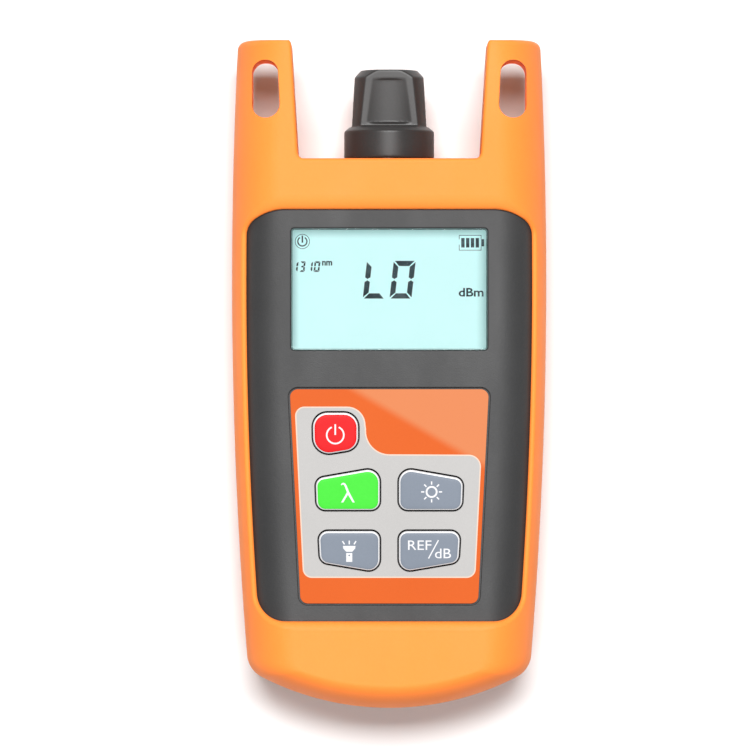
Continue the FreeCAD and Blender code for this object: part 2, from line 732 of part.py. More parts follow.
def locating_tabs():
    """Tabs that rise from the rear shell inside the front shell's side walls."""
    tabs = []
    for y in (TAB_SPREAD, -TAB_SPREAD):
        wall = min(side_x(y + end, SIDE_WALL + CASE_WALL) for end in (-TAB_W / 2, TAB_W / 2))
        inner = wall - TAB_FIT - TAB_T
        tab = block(inner, wall - TAB_FIT, y - TAB_W / 2, y + TAB_W / 2, Z_PORT - TAB_ROOT,
                    Z_PORT + TAB_H)
        root = block(inner, wall + TAB_T / 2, y - TAB_W / 2, y + TAB_W / 2, Z_PORT - TAB_ROOT,
                     Z_PORT)
        tab = tab.fuse(root)
        tabs += [tab, mirrored(tab)]
    return tabs


def rear_case():
    outer = case_back_half(0)
    wall_start = Z_CASE_BACK + CASE_WALL / 2
    well = block(-WELL_HALF_W - WELL_WALL, WELL_HALF_W + WELL_WALL, Y_WELL_END - WELL_WALL,
                 Y_WELL_TOP + WELL_WALL, wall_start, Z_WELL_TOP)
    case = outer.cut(case_back_half(-CASE_WALL))
    case = case.fuse([post(x, y, wall_start, Z_PORT, BOSS_R).common(outer)
                      for x, y in SCREW_PLACES])
    case = case.fuse([port_cradle(wall_start, Z_PORT), well] + locating_tabs())
    cuts = [block(-WELL_HALF_W, WELL_HALF_W, Y_WELL_END, Y_WELL_TOP, -1, Z_WELL_IN)]
    cuts.append(prism(outline(door_corners(), DOOR_FIT, -1), Z_DOOR_IN + 1))
    cuts += [post(x, y, -1, Z_PORT + 1, SCREW_R + SCREW_FIT) for x, y in SCREW_PLACES]
    cuts += [post(x, y, -1, Z_PORT - SCREW_SEAT_T, SCREW_HEAD_R + SCREW_FIT)
             for x, y in SCREW_PLACES]
    cuts += [post(x, y, Z_BOARD - BOARD_HEAD_H - SCREW_FIT, Z_WELL_TOP + 1, BOARD_HEAD_R + SCREW_FIT)
             for x, y in BOARD_SCREW_PLACES]
    cuts += [door_hinge_clearance(), finger_notch()]
    cuts += [block(x - CONTACT_TAB_W, x + CONTACT_TAB_W, y0 - CONTACT_T, y1 + CONTACT_T,
                   Z_WELL_IN - 1, Z_WELL_TOP + 1) for x, y0, y1 in contact_tabs()]
    cuts += end_wall_holes()
    for cutter in cuts:
        case = case.cut(cutter)
    return case.removeSplitter()


# ---------------------------------------------------------------- battery door

def door_axis():
    """Middle of the door's hinge axis, which runs along X."""
    return V(0, Y_DOOR_TOP - DOOR_PIVOT_RISE, Z_CASE_BACK + DOOR_PIVOT_RISE)


def hinge_bar(radius, half_length):
    axis = door_axis()
    return Part.makeCylinder(radius, 2 * half_length, V(-half_length, axis.y, axis.z), X_AXIS)


def door_hinge_clearance():
    """Room for the door's round upper edge to turn, and the sockets for its pins."""
    edge = hinge_bar(DOOR_PIVOT_RISE + DOOR_TURN_FIT, DOOR_HALF_W + DOOR_FIT)
    return edge.fuse(hinge_bar(DOOR_PIN_R + DOOR_PIN_FIT, DOOR_HALF_W + DOOR_PIN_L + DOOR_FIT))


def finger_notch():
    """Shallow scoop in the case beside the door's free edge, for a fingertip."""
    scoop = Part.makeCylinder(FINGER_R, FINGER_W, V(-FINGER_W / 2, Y_DOOR_END, Z_CASE_BACK
                                                    + FINGER_DEPTH - FINGER_R), X_AXIS)
    return scoop.cut(block(-FINGER_W, FINGER_W, Y_DOOR_END + DOOR_FIT, Y_DOOR_TOP, -THICK, THICK))


def battery_door():
    axis = door_axis()
    plate = prism(outline(door_corners(), z=Z_CASE_BACK), DOOR_T)
    waste = block(-WIDTH, WIDTH, axis.y, Y_DOOR_TOP + 1, Z_CASE_BACK - 1, Z_DOOR_IN + 1)
    plate = plate.cut(waste)
    edge = hinge_bar(DOOR_PIVOT_RISE, DOOR_HALF_W)
    door = plate.fuse(edge.common(block(-WIDTH, WIDTH, -LENGTH, LENGTH, 0, Z_DOOR_IN)))
    rim_corners = rectangle(-WELL_HALF_W, Y_WELL_END, WELL_HALF_W, Y_WELL_TOP)
    rim = prism(outline(rim_corners, -DOOR_RIM_FIT, Z_DOOR_IN), DOOR_RIM_T)
    rim = rim.cut(prism(outline(rim_corners, -DOOR_RIM_FIT - DOOR_RIM_T, Z_DOOR_IN - 1), 3 * DOOR_RIM_T))
    door = door.fuse([rim, hinge_bar(DOOR_PIN_R, DOOR_HALF_W + DOOR_PIN_L)])
    for i in range(GRIP_COUNT):
        y = Y_DOOR_END + GRIP_FROM_END + i * GRIP_PITCH
        groove = Part.makeCylinder(GRIP_R, GRIP_L, V(-GRIP_L / 2, y, Z_CASE_BACK + GRIP_DEPTH - GRIP_R),
                                   X_AXIS)
        door = door.cut(groove)
    return door.removeSplitter()


# ---------------------------------------------------------------- cells and contacts

def cell_x(index):
    return (index - (CELL_COUNT - 1) / 2) * (2 * CELL_R + CELL_PITCH_GAP)


def cell_up(index):
    """Cells alternate: the even ones have their nub towards the port."""
    return index % 2 == 0


def battery(index):
    """Cell with a nub at its positive end."""
    shoulder = CELL_L - CELL_NUB_H
    profile = [(0, 0), (0, CELL_R), (shoulder, CELL_R), (shoulder, CELL_NUB_R),
               (CELL_L, CELL_NUB_R), (CELL_L, 0)]
    if cell_up(index):
        base = Y_WELL_END + CONTACT_T + SPRING_L
        profile = [(base + y, r) for y, r in profile]
    else:
        base = Y_WELL_TOP - CONTACT_T - SPRING_L
        profile = [(base - y, r) for y, r in reversed(profile)]
    return turned(profile, cell_x(index), Z_CELL)


def contact_tabs():
    """(x, y0, y1) of every contact's tab, which rises to the board at the well's ends."""
    ends = [(Y_WELL_END, Y_WELL_END + CONTACT_T), (Y_WELL_TOP - CONTACT_T, Y_WELL_TOP)]
    return [(cell_x(index), y0, y1) for index in range(CELL_COUNT) for y0, y1 in ends]


def contact_plate(index, y0):
    x = cell_x(index)
    plate = block(x - CONTACT_W / 2, x + CONTACT_W / 2, y0, y0 + CONTACT_T,
                  Z_CELL - CONTACT_W / 2, Z_CELL + CONTACT_W / 2)
    tab = block(x - CONTACT_TAB_W / 2, x + CONTACT_TAB_W / 2, y0, y0 + CONTACT_T, Z_CELL, Z_BOARD)
    return plate.fuse(tab).removeSplitter()


def positive_contacts():
    return Part.makeCompound([
        contact_plate(i, Y_WELL_TOP - CONTACT_T if cell_up(i) else Y_WELL_END)
        for i in range(CELL_COUNT)])


def contact_springs():
    """Plates with a folded leaf whose crest presses on each cell's flat end."""
    springs = []
    for i in range(CELL_COUNT):
        y0 = Y_WELL_END if cell_up(i) else Y_WELL_TOP - CONTACT_T
        sign = 1 if cell_up(i) else -1
        root = y0 + CONTACT_T if cell_up(i) else y0
        fold = [(0, SPRING_H / 2), (SPRING_L, SPRING_T), (SPRING_L, -SPRING_T), (0, -SPRING_H / 2),
                (0, SPRING_T - SPRING_H / 2), (SPRING_L - SPRING_T, -SPRING_T / 2),
                (SPRING_L - SPRING_T, SPRING_T / 2), (0, SPRING_H / 2 - SPRING_T)]
        points = [V(cell_x(i) - SPRING_W / 2, root + sign * out, Z_CELL + up) for out, up in fold]
        leaf = Part.Face(Part.makePolygon(points + points[:1])).extrude(X_AXIS * SPRING_W)
        springs.append(contact_plate(i, y0).fuse(leaf))
    return Part.makeCompound(springs)


# ---------------------------------------------------------------- display and keys

def display_lens():
    flange = prism(outline(display_corners(), LENS_FLANGE, Z_LENS), LENS_FLANGE_T)
    window = prism(outline(display_corners(), -LENS_FIT, Z_FRONT_IN), CASE_WALL - LENS_SUNK)
    return fused([flange, window])


def zebra_ledge():
    return ZEBRA_W + 2 * ZEBRA_FIT


def lcd_panel():
    """Two glasses: the front one is longer, and its lower edge carries the contacts."""
    back = prism(outline(lcd_corners(zebra_ledge()), z=Z_LCD), LCD_T / 2)
    front = prism(outline(lcd_corners(), z=Z_LCD + LCD_T / 2), LCD_T / 2)
    return fused([back, front])


def lcd_backlight():
    return prism(outline(lcd_corners(zebra_ledge()), z=Z_BOARD_TOP), BACKLIGHT_T)


def zebra_strip():
    low = Y_DISPLAY_END - LCD_MARGIN + ZEBRA_FIT
    return block(-DISPLAY_W / 2, DISPLAY_W / 2, low, low + ZEBRA_W, Z_BOARD_TOP, Z_LCD + LCD_T / 2)


def keypad_overlay():
    overlay = prism(outline(panel_corners(), z=Z_PANEL), PANEL_T)
    for name in KEY_NAMES:
        overlay = overlay.cut(prism(outline(key_corners(name), z=Z_PANEL - 1), THICK))
    return overlay


def key(name):
    """Key with a bevelled top and a retaining flange under the case's face."""
    z_body = Z_KEY_FLANGE + KEY_FLANGE_T
    z_edge = Z_KEY_TOP - KEY_EDGE
    corners = key_corners(name)
    body = prism(outline(corners, -KEY_FIT, z_body), z_edge - z_body)
    edge = Part.makeLoft([outline(corners, -KEY_FIT, z_edge),
                          outline(corners, -KEY_FIT - KEY_EDGE, Z_KEY_TOP)], True, True)
    square = [(x, y, 0) for x, y, radius in corners]
    return fused([body, edge, prism(outline(square, KEY_FLANGE, Z_KEY_FLANGE), KEY_FLANGE_T)])


def switch_plunger(name):
    """Plunger that a key's underside pushes down into its switch."""
    x, y = key_middle(name)
    return post(x, y, Z_KEY_FLANGE - PLUNGER_L, Z_KEY_FLANGE, PLUNGER_R)


def tact_switches():
    switches = []
    for name in KEY_NAMES:
        x, y = key_middle(name)
        half = SWITCH_W / 2
        body = block(x - half, x + half, y - half, y + half, Z_BOARD_TOP, Z_SWITCH_TOP)
        switches.append(body.cut(post(x, y, Z_SWITCH_TOP - SWITCH_BORE - 1, Z_SWITCH_TOP + 1,
                                      PLUNGER_R + PLUNGER_FIT)))
    return Part.makeCompound(switches)


# ---------------------------------------------------------------- board

def main_board():
    """Board with straight edges inside the case's curved ones, cleared for the lower bosses."""
    end_x, top_x = WELL_HALF_W, side_x(Y_BOARD_TOP, BOARD_INSET)
    low_x = side_x(Y_BOSS_END, BOARD_INSET)
    middle_x = side_x(0, BOARD_INSET)
    corners = [(-end_x, Y_BOARD_END, 0), (end_x, Y_BOARD_END, 0), (low_x, Y_BOSS_END, 0),
               (middle_x, 0, 0), (top_x, Y_BOARD_TOP, 0), (-top_x, Y_BOARD_TOP, 0),
               (-middle_x, 0, 0), (-low_x, Y_BOSS_END, 0)]
    board = prism(outline(corners, z=Z_BOARD), BOARD_T)
    board = board.cut(fused_posts(SCREW_PLACES, Z_BOARD - 1, Z_BOARD_TOP + 1, BOSS_R + SCREW_FIT * 2))
    return board.cut(fused_posts(BOARD_SCREW_PLACES, Z_BOARD - 1, Z_BOARD_TOP + 1,
                                 BOARD_SCREW_R + SCREW_FIT))


def processor_chip():
    """Chip body on its lead frame."""
    x, y, half = -DISPLAY_W / 4, Y_DISPLAY, CHIP_W / 2
    body = block(x - half, x + half, y - half, y + half, Z_BOARD - CHIP_T, Z_BOARD - CHIP_PIN_T)
    half += CHIP_PIN_L
    return body.fuse(block(x - half, x + half, y - half, y + half, Z_BOARD - CHIP_PIN_T, Z_BOARD))


def amplifier_chip():
    x, y = DISPLAY_W / 6, Y_DISPLAY + CHIP_W / 2
    pieces = [block(x - AMP_W / 2, x + AMP_W / 2, y - AMP_L / 2, y + AMP_L / 2, Z_BOARD - CHIP_T,
                    Z_BOARD - CHIP_PIN_T)]
    for i in range(CHIP_PINS):
        pin_x = x + (i - (CHIP_PINS - 1) / 2) * CHIP_PITCH
        pieces.append(block(pin_x - CHIP_PIN_W / 2, pin_x + CHIP_PIN_W / 2,
                            y - AMP_L / 2 - CHIP_PIN_L, y + AMP_L / 2 + CHIP_PIN_L,
                            Z_BOARD - 2 * CHIP_PIN_T, Z_BOARD))
    return fused(pieces)


def timing_crystal():
    y = Y_DISPLAY - CHIP_W / 4
    return turned([(y, 0), (y, CRYSTAL_R), (y + CRYSTAL_L, CRYSTAL_R), (y + CRYSTAL_L, 0)],
                  DISPLAY_W / 2 - CRYSTAL_L / 2, Z_BOARD - CRYSTAL_R)


def smoothing_capacitor():
    return post(DISPLAY_W / 6, Y_DISPLAY_END + CAPACITOR_R, Z_BOARD - CAPACITOR_H, Z_BOARD, CAPACITOR_R)


# ---------------------------------------------------------------- optical port

Y_FLANGE = Y_TOP_IN - PORT_FLANGE_T
Y_BARREL_TOP = Y_NOTCH + PORT_RISE
Y_STEP = Y_TOP_IN + PORT_STEP
Y_ADAPTER_TOP = Y_BARREL_TOP + ADAPTER_TOP_T
Y_NOSE = Y_ADAPTER_TOP + NOSE_H
Y_FERRULE_END = Y_BARREL_TOP - NOSE_TUBE_L
Y_CAN_TOP = Y_FERRULE_END - CAN_GAP
Y_HEADER = Y_CAN_TOP - CAN_H


def port_barrel():
    return turned([(Y_FLANGE, PORT_REAR_BORE_R), (Y_FLANGE, PORT_FLANGE_R), (Y_TOP_IN, PORT_FLANGE_R),
                   (Y_TOP_IN, PORT_R), (Y_BARREL_TOP, PORT_R),
                   (Y_BARREL_TOP, NOSE_TUBE_R + PORT_FIT), (Y_STEP, NOSE_TUBE_R + PORT_FIT),
                   (Y_STEP, PORT_REAR_BORE_R)])


def universal_adapter():
    """Screw-on adapter: a skirt over the barrel and a nose that guides the ferrule."""
    skirt = Y_NOTCH + ADAPTER_LIFT
    inner = PORT_R + ADAPTER_THREAD_FIT
    bore = SLEEVE_R + SLEEVE_FIT
    return turned([(skirt, inner), (skirt, ADAPTER_R), (Y_ADAPTER_TOP, ADAPTER_R),
                   (Y_ADAPTER_TOP, NOSE_R), (Y_NOSE, NOSE_R), (Y_NOSE, bore), (Y_FERRULE_END, bore),
                   (Y_FERRULE_END, NOSE_TUBE_R), (Y_BARREL_TOP, NOSE_TUBE_R), (Y_BARREL_TOP, inner)])


def ferrule_sleeve():
    bore = FERRULE_R + FERRULE_FIT
    return turned([(Y_FERRULE_END, bore), (Y_FERRULE_END, SLEEVE_R), (Y_NOSE, SLEEVE_R),
                   (Y_NOSE, bore)])


def leads(places, y0, y1):
    """Square leads from y0 back to y1 and up to the board; places are (x, z)."""
    half = LEAD_W / 2
    solids = []
    for x, z in places:
        solids.append(block(x - half, x + half, y1, y0, z - half, z + half))
        solids.append(block(x - half, x + half, y1, y1 + LEAD_W, z - half, Z_BOARD))
    return solids


def photodetector():
    """Metal can with a header rim and three leads to the board."""
    can = turned([(Y_HEADER - CAN_HEADER_T, 0), (Y_HEADER - CAN_HEADER_T, CAN_HEADER_R),
                  (Y_HEADER, CAN_HEADER_R), (Y_HEADER, CAN_R), (Y_CAN_TOP, CAN_R), (Y_CAN_TOP, 0)])
    places = [(LEAD_RING_R * math.cos(a), Z_PORT + LEAD_RING_R * math.sin(a))
              for a in (math.pi / 2, math.pi * 7 / 6, -math.pi / 6)]
    return fused([can] + leads(places, Y_HEADER - CAN_HEADER_T, Y_BOARD_TOP - LEAD_IN))


def detector_holder():
    """Bushing that centres the can in the port and stops its header."""
    outer = PORT_REAR_BORE_R - HOLDER_FIT
    bore = CAN_R + HOLDER_FIT
    return turned([(Y_HEADER, bore), (Y_HEADER, outer), (Y_STEP, outer), (Y_STEP, bore)])


# ---------------------------------------------------------------- dust cap

def dust_cap():
    """Pull-off cap: a collar, three flats with finger scoops, and a stepped hollow."""
    y0 = Y_NOTCH + CAP_LIFT
    collar = y0 + CAP_COLLAR_H
    base = collar + CAP_COLLAR_EDGE
    top = y0 + CAP_H
    grip = ADAPTER_R + CAP_GRIP_FIT
    nose = NOSE_R + CAP_NOSE_FIT
    roof = Y_ADAPTER_TOP + CAP_NOSE_FIT
    cap = turned([(y0, grip), (y0, CAP_COLLAR_R), (collar, CAP_COLLAR_R), (base, CAP_BASE_R),
                  (top - CAP_TIP_EDGE_H, CAP_TIP_R), (top, CAP_TIP_R - CAP_TIP_EDGE_R), (top, 0),
                  (Y_NOSE + CAP_NOSE_FIT, 0), (Y_NOSE + CAP_NOSE_FIT, nose), (roof, nose), (roof, grip)])
    # The scoop's cutter is a wide cone beside the flat: depths set how far it bites in.
    chord, depth = CAP_SCOOP_W / 2, CAP_SCOOP_DEPTH
    scoop_r = (chord ** 2 + depth ** 2) / (2 * depth)
    axis_out = CAP_FLAT - depth + scoop_r
    low = base + CAP_SCOOP_FROM_FLAT
    scoop = Part.makeCone(scoop_r, scoop_r - depth + CAP_SCOOP_TIP_DEPTH, CAP_SCOOP_H,
                          V(0, low, Z_PORT + axis_out), Y_AXIS)
    flat = block(-CAP_COLLAR_R, CAP_COLLAR_R, base, top + 1, Z_PORT + CAP_FLAT, Z_PORT + 2 * CAP_COLLAR_R)
    for i in range(CAP_FLAT_COUNT):
        angle = i * 360 / CAP_FLAT_COUNT
        for cutter in (flat, scoop):
            cap = cap.cut(cutter.copy().rotate(V(0, 0, Z_PORT), Y_AXIS, angle))
    return cap


# ---------------------------------------------------------------- torch

def torch_lens():
    back = Y_TOP_IN - TORCH_FLANGE_T
    tip = Y_NOTCH - TORCH_LENS_SUNK
    return turned([(back, 0), (back, TORCH_FLANGE_R), (Y_TOP_IN, TORCH_FLANGE_R),
                   (Y_TOP_IN, TORCH_LENS_R), (tip, TORCH_LENS_R), (tip, 0)], TORCH_X)


def torch_led():
    tip = Y_TOP_IN - TORCH_FLANGE_T - TORCH_LED_GAP
    root = tip - TORCH_LED_L
    rim = TORCH_LED_R + TORCH_LED_RIM
    body = turned([(root, 0), (root, rim), (root + TORCH_LED_RIM, rim), (root + TORCH_LED_RIM, TORCH_LED_R),
                   (tip, TORCH_LED_R), (tip, 0)], TORCH_X)
    places = [(TORCH_X - LEAD_RING_R / 2, Z_PORT), (TORCH_X + LEAD_RING_R / 2, Z_PORT)]
    return fused([body] + leads(places, root, Y_BOARD_TOP - LEAD_IN))


# ---------------------------------------------------------------- screws

def screw(x, y, seat, head_r, head_h, shank_r, reach):
    """Screw that points up, its head below seat."""
    return fused([post(x, y, seat - head_h, seat, head_r), post(x, y, seat, seat + reach, shank_r)])


def case_screws():
    return Part.makeCompound([screw(x, y, Z_PORT - SCREW_SEAT_T, SCREW_HEAD_R, SCREW_HEAD_H, SCREW_R,
                                    SCREW_SEAT_T + SCREW_BITE) for x, y in SCREW_PLACES])


def board_screws():
    return Part.makeCompound([screw(x, y, Z_BOARD, BOARD_HEAD_R, BOARD_HEAD_H, BOARD_SCREW_R,
                                    BOARD_SCREW_L) for x, y in BOARD_SCREW_PLACES])


# ---------------------------------------------------------------- all nodes

def build_nodes():
    pieces = [protective_boot, front_case, rear_case, battery_door, display_lens, lcd_panel,
              lcd_backlight, zebra_strip, keypad_overlay, tact_switches, main_board, processor_chip,
              amplifier_chip, timing_crystal, smoothing_capacitor, positive_contacts,
              contact_springs, port_barrel, universal_adapter, ferrule_sleeve, photodetector,
              detector_holder, dust_cap, torch_lens, torch_led, case_screws, board_screws]
    nodes = {piece.__name__: piece() for piece in pieces}
    for name in KEY_NAMES:
        nodes["key_" + name] = key(name)
        nodes["plunger_" + name] = switch_plunger(name)
    for index in range(CELL_COUNT):
        nodes["battery_%d" % (index + 1)] = battery(index)
    return nodes


def main():
    os.makedirs("parts", exist_ok=True)
    for name, shape in build_nodes().items():
        shape.exportStep("parts/%s.step" % name)


main()
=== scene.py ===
"""Looks of a handheld optical power meter in a soft orange boot.

Shapes are worked out in millimetres and set down in metres once they are finished.
The meter lies on its back: +Z out of the display, +Y out of the optical port.
"""

import math

import bmesh
import bpy
from mathutils import Matrix, Vector
from mathutils.geometry import delaunay_2d_cdt


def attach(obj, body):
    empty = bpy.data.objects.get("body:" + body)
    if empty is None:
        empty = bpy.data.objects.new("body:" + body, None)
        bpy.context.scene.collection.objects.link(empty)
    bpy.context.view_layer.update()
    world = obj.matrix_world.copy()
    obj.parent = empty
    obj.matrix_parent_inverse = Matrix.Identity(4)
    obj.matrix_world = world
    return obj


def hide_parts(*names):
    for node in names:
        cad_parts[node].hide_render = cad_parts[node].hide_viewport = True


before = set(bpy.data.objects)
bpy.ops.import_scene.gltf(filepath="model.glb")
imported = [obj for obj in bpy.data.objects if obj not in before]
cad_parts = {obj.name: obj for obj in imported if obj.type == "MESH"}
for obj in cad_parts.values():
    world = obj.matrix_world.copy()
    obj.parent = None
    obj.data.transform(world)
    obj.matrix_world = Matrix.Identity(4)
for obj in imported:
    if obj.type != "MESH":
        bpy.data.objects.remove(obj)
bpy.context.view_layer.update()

MM = 0.001

# ---- Sizes of the meter, in millimetres ----
HALF_WIDTH = 30.0
SIDE_R = 890.0                    # bow of the long sides
SIDE_X = HALF_WIDTH - SIDE_R
WIDEST_Y = 18.0
END_R = 53.0                      # bow of the keypad end
END_Y = -63.5
TIP_Y = 63.5                      # tips of the ears
NOTCH_Y = 40.9                    # floor of the notch between the ears
THICK = 27.0
SPLIT = 13.5                      # where the case parts, and the port's axis
EAR_BACK = 12.5

BOOT_ROLL_H = 13.0                # edge roll of the boot's front
BOOT_ROLL_IN = (9.5, 5.0, 0.45)   # drawn in at its sides, its end and the ear tips
BOOT_END_R = 5.0
EAR_TIP_R = 1.6
EAR_BACK_ROLL = 0.9
BACK_ROLL = 4.5                   # edge roll of the boot's back
BACK_TOP_R = 4.15
BACK_INSET = 0.02                 # keeps the back's sides off the front's where they join
BACK_JOIN_Z = 13.6
BACK_LIP = 0.8
NOTCH_HALF = 17.2
NOTCH_TIP_HALF = 18.55
NOTCH_CORNER_R = 1.0
NOTCH_LIP = 0.7
EAR_INNER_R = 1.3
SLOT_OUTER = 25.96
SLOT_MIDDLE = 54.05
SLOT_HALF_L = 5.475
SLOT_WIDE = 5.35                  # width at its lower end, and at its upper
SLOT_NARROW = 4.85
SLOT_ROUND = 0.48
SLOT_LIP = 0.35
WINDOW_TOP = 31.3
WINDOW_END = -46.5
WINDOW_INSET = 2.94
WINDOW_WIDE_R = 10.4              # each upper corner is a wide arc and then a tight one
WINDOW_TIGHT_R = 3.8
WINDOW_TURN = math.radians(34)    # turn of the wide arc
WINDOW_END_R = 5.3
LIP = 0.55                        # the window's lip at the sides
LIP_OUT_TOP = 2.8
LIP_OUT_END = 1.8
LIP_DOWN = 1.4
LIP_FROM, LIP_FULL = 3.0, 10.5    # how far in from the side the lip grows

CASE_TOP = 38.0
CASE_BACK = 1.6
CASE_FACE = 25.2
CASE_SIDE = 2.4                   # case inside the boot's outline
CASE_END = 4.0
CASE_END_R = 4.5
CASE_TOP_R = 3.0
CASE_BACK_ROLL = 2.0
CASE_ROLL_H = 6.0
CASE_ROLL_IN = (7.2, 4.0, 2.2)
FRONT_INSIDE = 23.0
BOOT_FIT = 0.1
TORCH_X = 12.6

PANEL_FACE = 25.0
PANEL_BACK = 24.6
PANEL_TOP = -2.7
PANEL_SEAM = 0.36
LCD_FACE = 21.5
DISPLAY_X = 18.55
DISPLAY_LOW, DISPLAY_HIGH = 4.7, 27.7
DISPLAY = [(-DISPLAY_X, DISPLAY_LOW, 0.6), (DISPLAY_X, DISPLAY_LOW, 0.6),
           (DISPLAY_X, DISPLAY_HIGH, 0.6), (-DISPLAY_X, DISPLAY_HIGH, 0.6)]
PANEL = [(-16.75, -43.15, 1.45), (16.75, -43.15, 1.45), (18.8, PANEL_TOP, 1.45), (-18.8, PANEL_TOP, 1.45)]
# corners of a key's opening: across, down from the panel's top edge, and radius
KEY_HOLES = {
    "power": [(-14.78, 4.10, 3.0), (-14.62, 13.00, 3.3), (-5.58, 11.54, 2.9), (-5.58, 4.10, 3.0)],
    "wavelength": [(-14.23, 16.60, 2.0), (-14.00, 23.09, 2.0), (-1.50, 23.09, 2.0), (-1.50, 14.38, 2.6)],
    "torch": [(-13.71, 26.45, 2.0), (-13.35, 32.92, 2.0), (-1.50, 34.93, 2.4), (-1.50, 26.45, 1.9)],
}
MIRRORED = {"backlight": "wavelength", "reference": "torch"}
KEY_NAMES = ["power", "wavelength", "torch", "backlight", "reference"]
KEY_SLOTS = {"power": "key_red", "wavelength": "key_green"}


# ---------------------------------------------------------------- shared surface effects

def new_group(name, inputs, output, kind):
    """An empty shader group: inputs are (name, socket kind, value)."""
    group = bpy.data.node_groups.new(name, "ShaderNodeTree")
    for label, socket, value in inputs:
        made = group.interface.new_socket(name=label, in_out="INPUT", socket_type=socket)
        if value is not None:
            made.default_value = value
    group.interface.new_socket(name=output, in_out="OUTPUT", socket_type=kind)
    start = group.nodes.new("NodeGroupInput")
    end = group.nodes.new("NodeGroupOutput")
    return group, start, end


def add_node(tree, kind, settings=None, values=None):
    """A node with its settings, and its inputs as values or as other nodes' outputs."""
    node = tree.nodes.new(kind)
    for name, value in (settings or {}).items():
        setattr(node, name, value)
    for name, value in (values or {}).items():
        if isinstance(value, bpy.types.NodeSocket):
            tree.links.new(value, node.inputs[name])
        else:
            node.inputs[name].default_value = value
    return node


def sum_node(tree, operation, *terms):
    """Result of a sum on numbers and on other nodes' outputs."""
    return add_node(tree, "ShaderNodeMath", {"operation": operation}, dict(enumerate(terms))).outputs[0]


def blend_node(tree, share, first, second):
    """Colour on the way from first to second."""
    return add_node(tree, "ShaderNodeMix", {"data_type": "RGBA"},
                    {"Factor": share, 6: first, 7: second}).outputs[2]


def make_mould_grain():
    """Height of the fine pebbled grain that a spark-eroded mould leaves."""
    group, start, end = new_group("mould_grain", [
        ("Vector", "NodeSocketVector", None),
        ("Scale", "NodeSocketFloat", 3500.0),
        ("Depth", "NodeSocketFloat", 0.5)], "Height", "NodeSocketFloat")
    place, scale = start.outputs["Vector"], start.outputs["Scale"]
    fine = add_node(group, "ShaderNodeTexNoise", values={
        "Vector": place, "Scale": scale, "Detail": 2.0, "Roughness": 0.6})
    broad = add_node(group, "ShaderNodeTexNoise", values={
        "Vector": place, "Scale": sum_node(group, "MULTIPLY", scale, 0.23), "Detail": 1.0})
    both = sum_node(group, "MULTIPLY_ADD", broad.outputs["Fac"], 0.6, fine.outputs["Fac"])
    height = sum_node(group, "MULTIPLY", both, start.outputs["Depth"])
    group.links.new(height, end.inputs["Height"])
    return group


def make_colour_drift():
    """Colour that wanders slowly between a clean tone and a deeper one, with a fine fleck."""
    group, start, end = new_group("colour_drift", [
        ("Vector", "NodeSocketVector", None),
        ("Clean", "NodeSocketColor", (1, 1, 1, 1)),
        ("Deep", "NodeSocketColor", (0, 0, 0, 1)),
        ("Scale", "NodeSocketFloat", 60.0),
        ("Fleck Scale", "NodeSocketFloat", 2500.0)], "Color", "NodeSocketColor")
    place = start.outputs["Vector"]
    slow = add_node(group, "ShaderNodeTexNoise", values={
        "Vector": place, "Scale": start.outputs["Scale"], "Detail": 3.0, "Roughness": 0.55})
    fleck = add_node(group, "ShaderNodeTexNoise", values={
        "Vector": place, "Scale": start.outputs["Fleck Scale"], "Detail": 1.0})
    both = sum_node(group, "MULTIPLY_ADD", fleck.outputs["Fac"], 0.45, slow.outputs["Fac"])
    spread = add_node(group, "ShaderNodeMapRange", values={
        "Value": both, "From Min": 0.45, "From Max": 1.0})
    colour = blend_node(group, spread.outputs["Result"], start.outputs["Clean"], start.outputs["Deep"])
    group.links.new(colour, end.inputs["Color"])
    return group


def make_handling_sheen():
    """Roughness that hands and cloths have polished unevenly, in broad soft strokes."""
    group, start, end = new_group("handling_sheen", [
        ("Vector", "NodeSocketVector", None),
        ("Scale", "NodeSocketFloat", 90.0),
        ("Low", "NodeSocketFloat", 0.4),
        ("High", "NodeSocketFloat", 0.6)], "Roughness", "NodeSocketFloat")
    stretch = add_node(group, "ShaderNodeMapping", values={
        "Vector": start.outputs["Vector"], "Scale": (1.0, 0.45, 1.0), "Rotation": (0.0, 0.0, 0.5)})
    strokes = add_node(group, "ShaderNodeTexNoise", values={
        "Vector": stretch.outputs["Vector"], "Scale": start.outputs["Scale"],
        "Detail": 4.0, "Roughness": 0.6})
    spread = add_node(group, "ShaderNodeMapRange", values={
        "Value": strokes.outputs["Fac"], "From Min": 0.3, "From Max": 0.7,
        "To Min": start.outputs["Low"], "To Max": start.outputs["High"]})
    group.links.new(spread.outputs["Result"], end.inputs["Roughness"])
    return group


MOULD_GRAIN = make_mould_grain()
COLOUR_DRIFT = make_colour_drift()
HANDLING_SHEEN = make_handling_sheen()


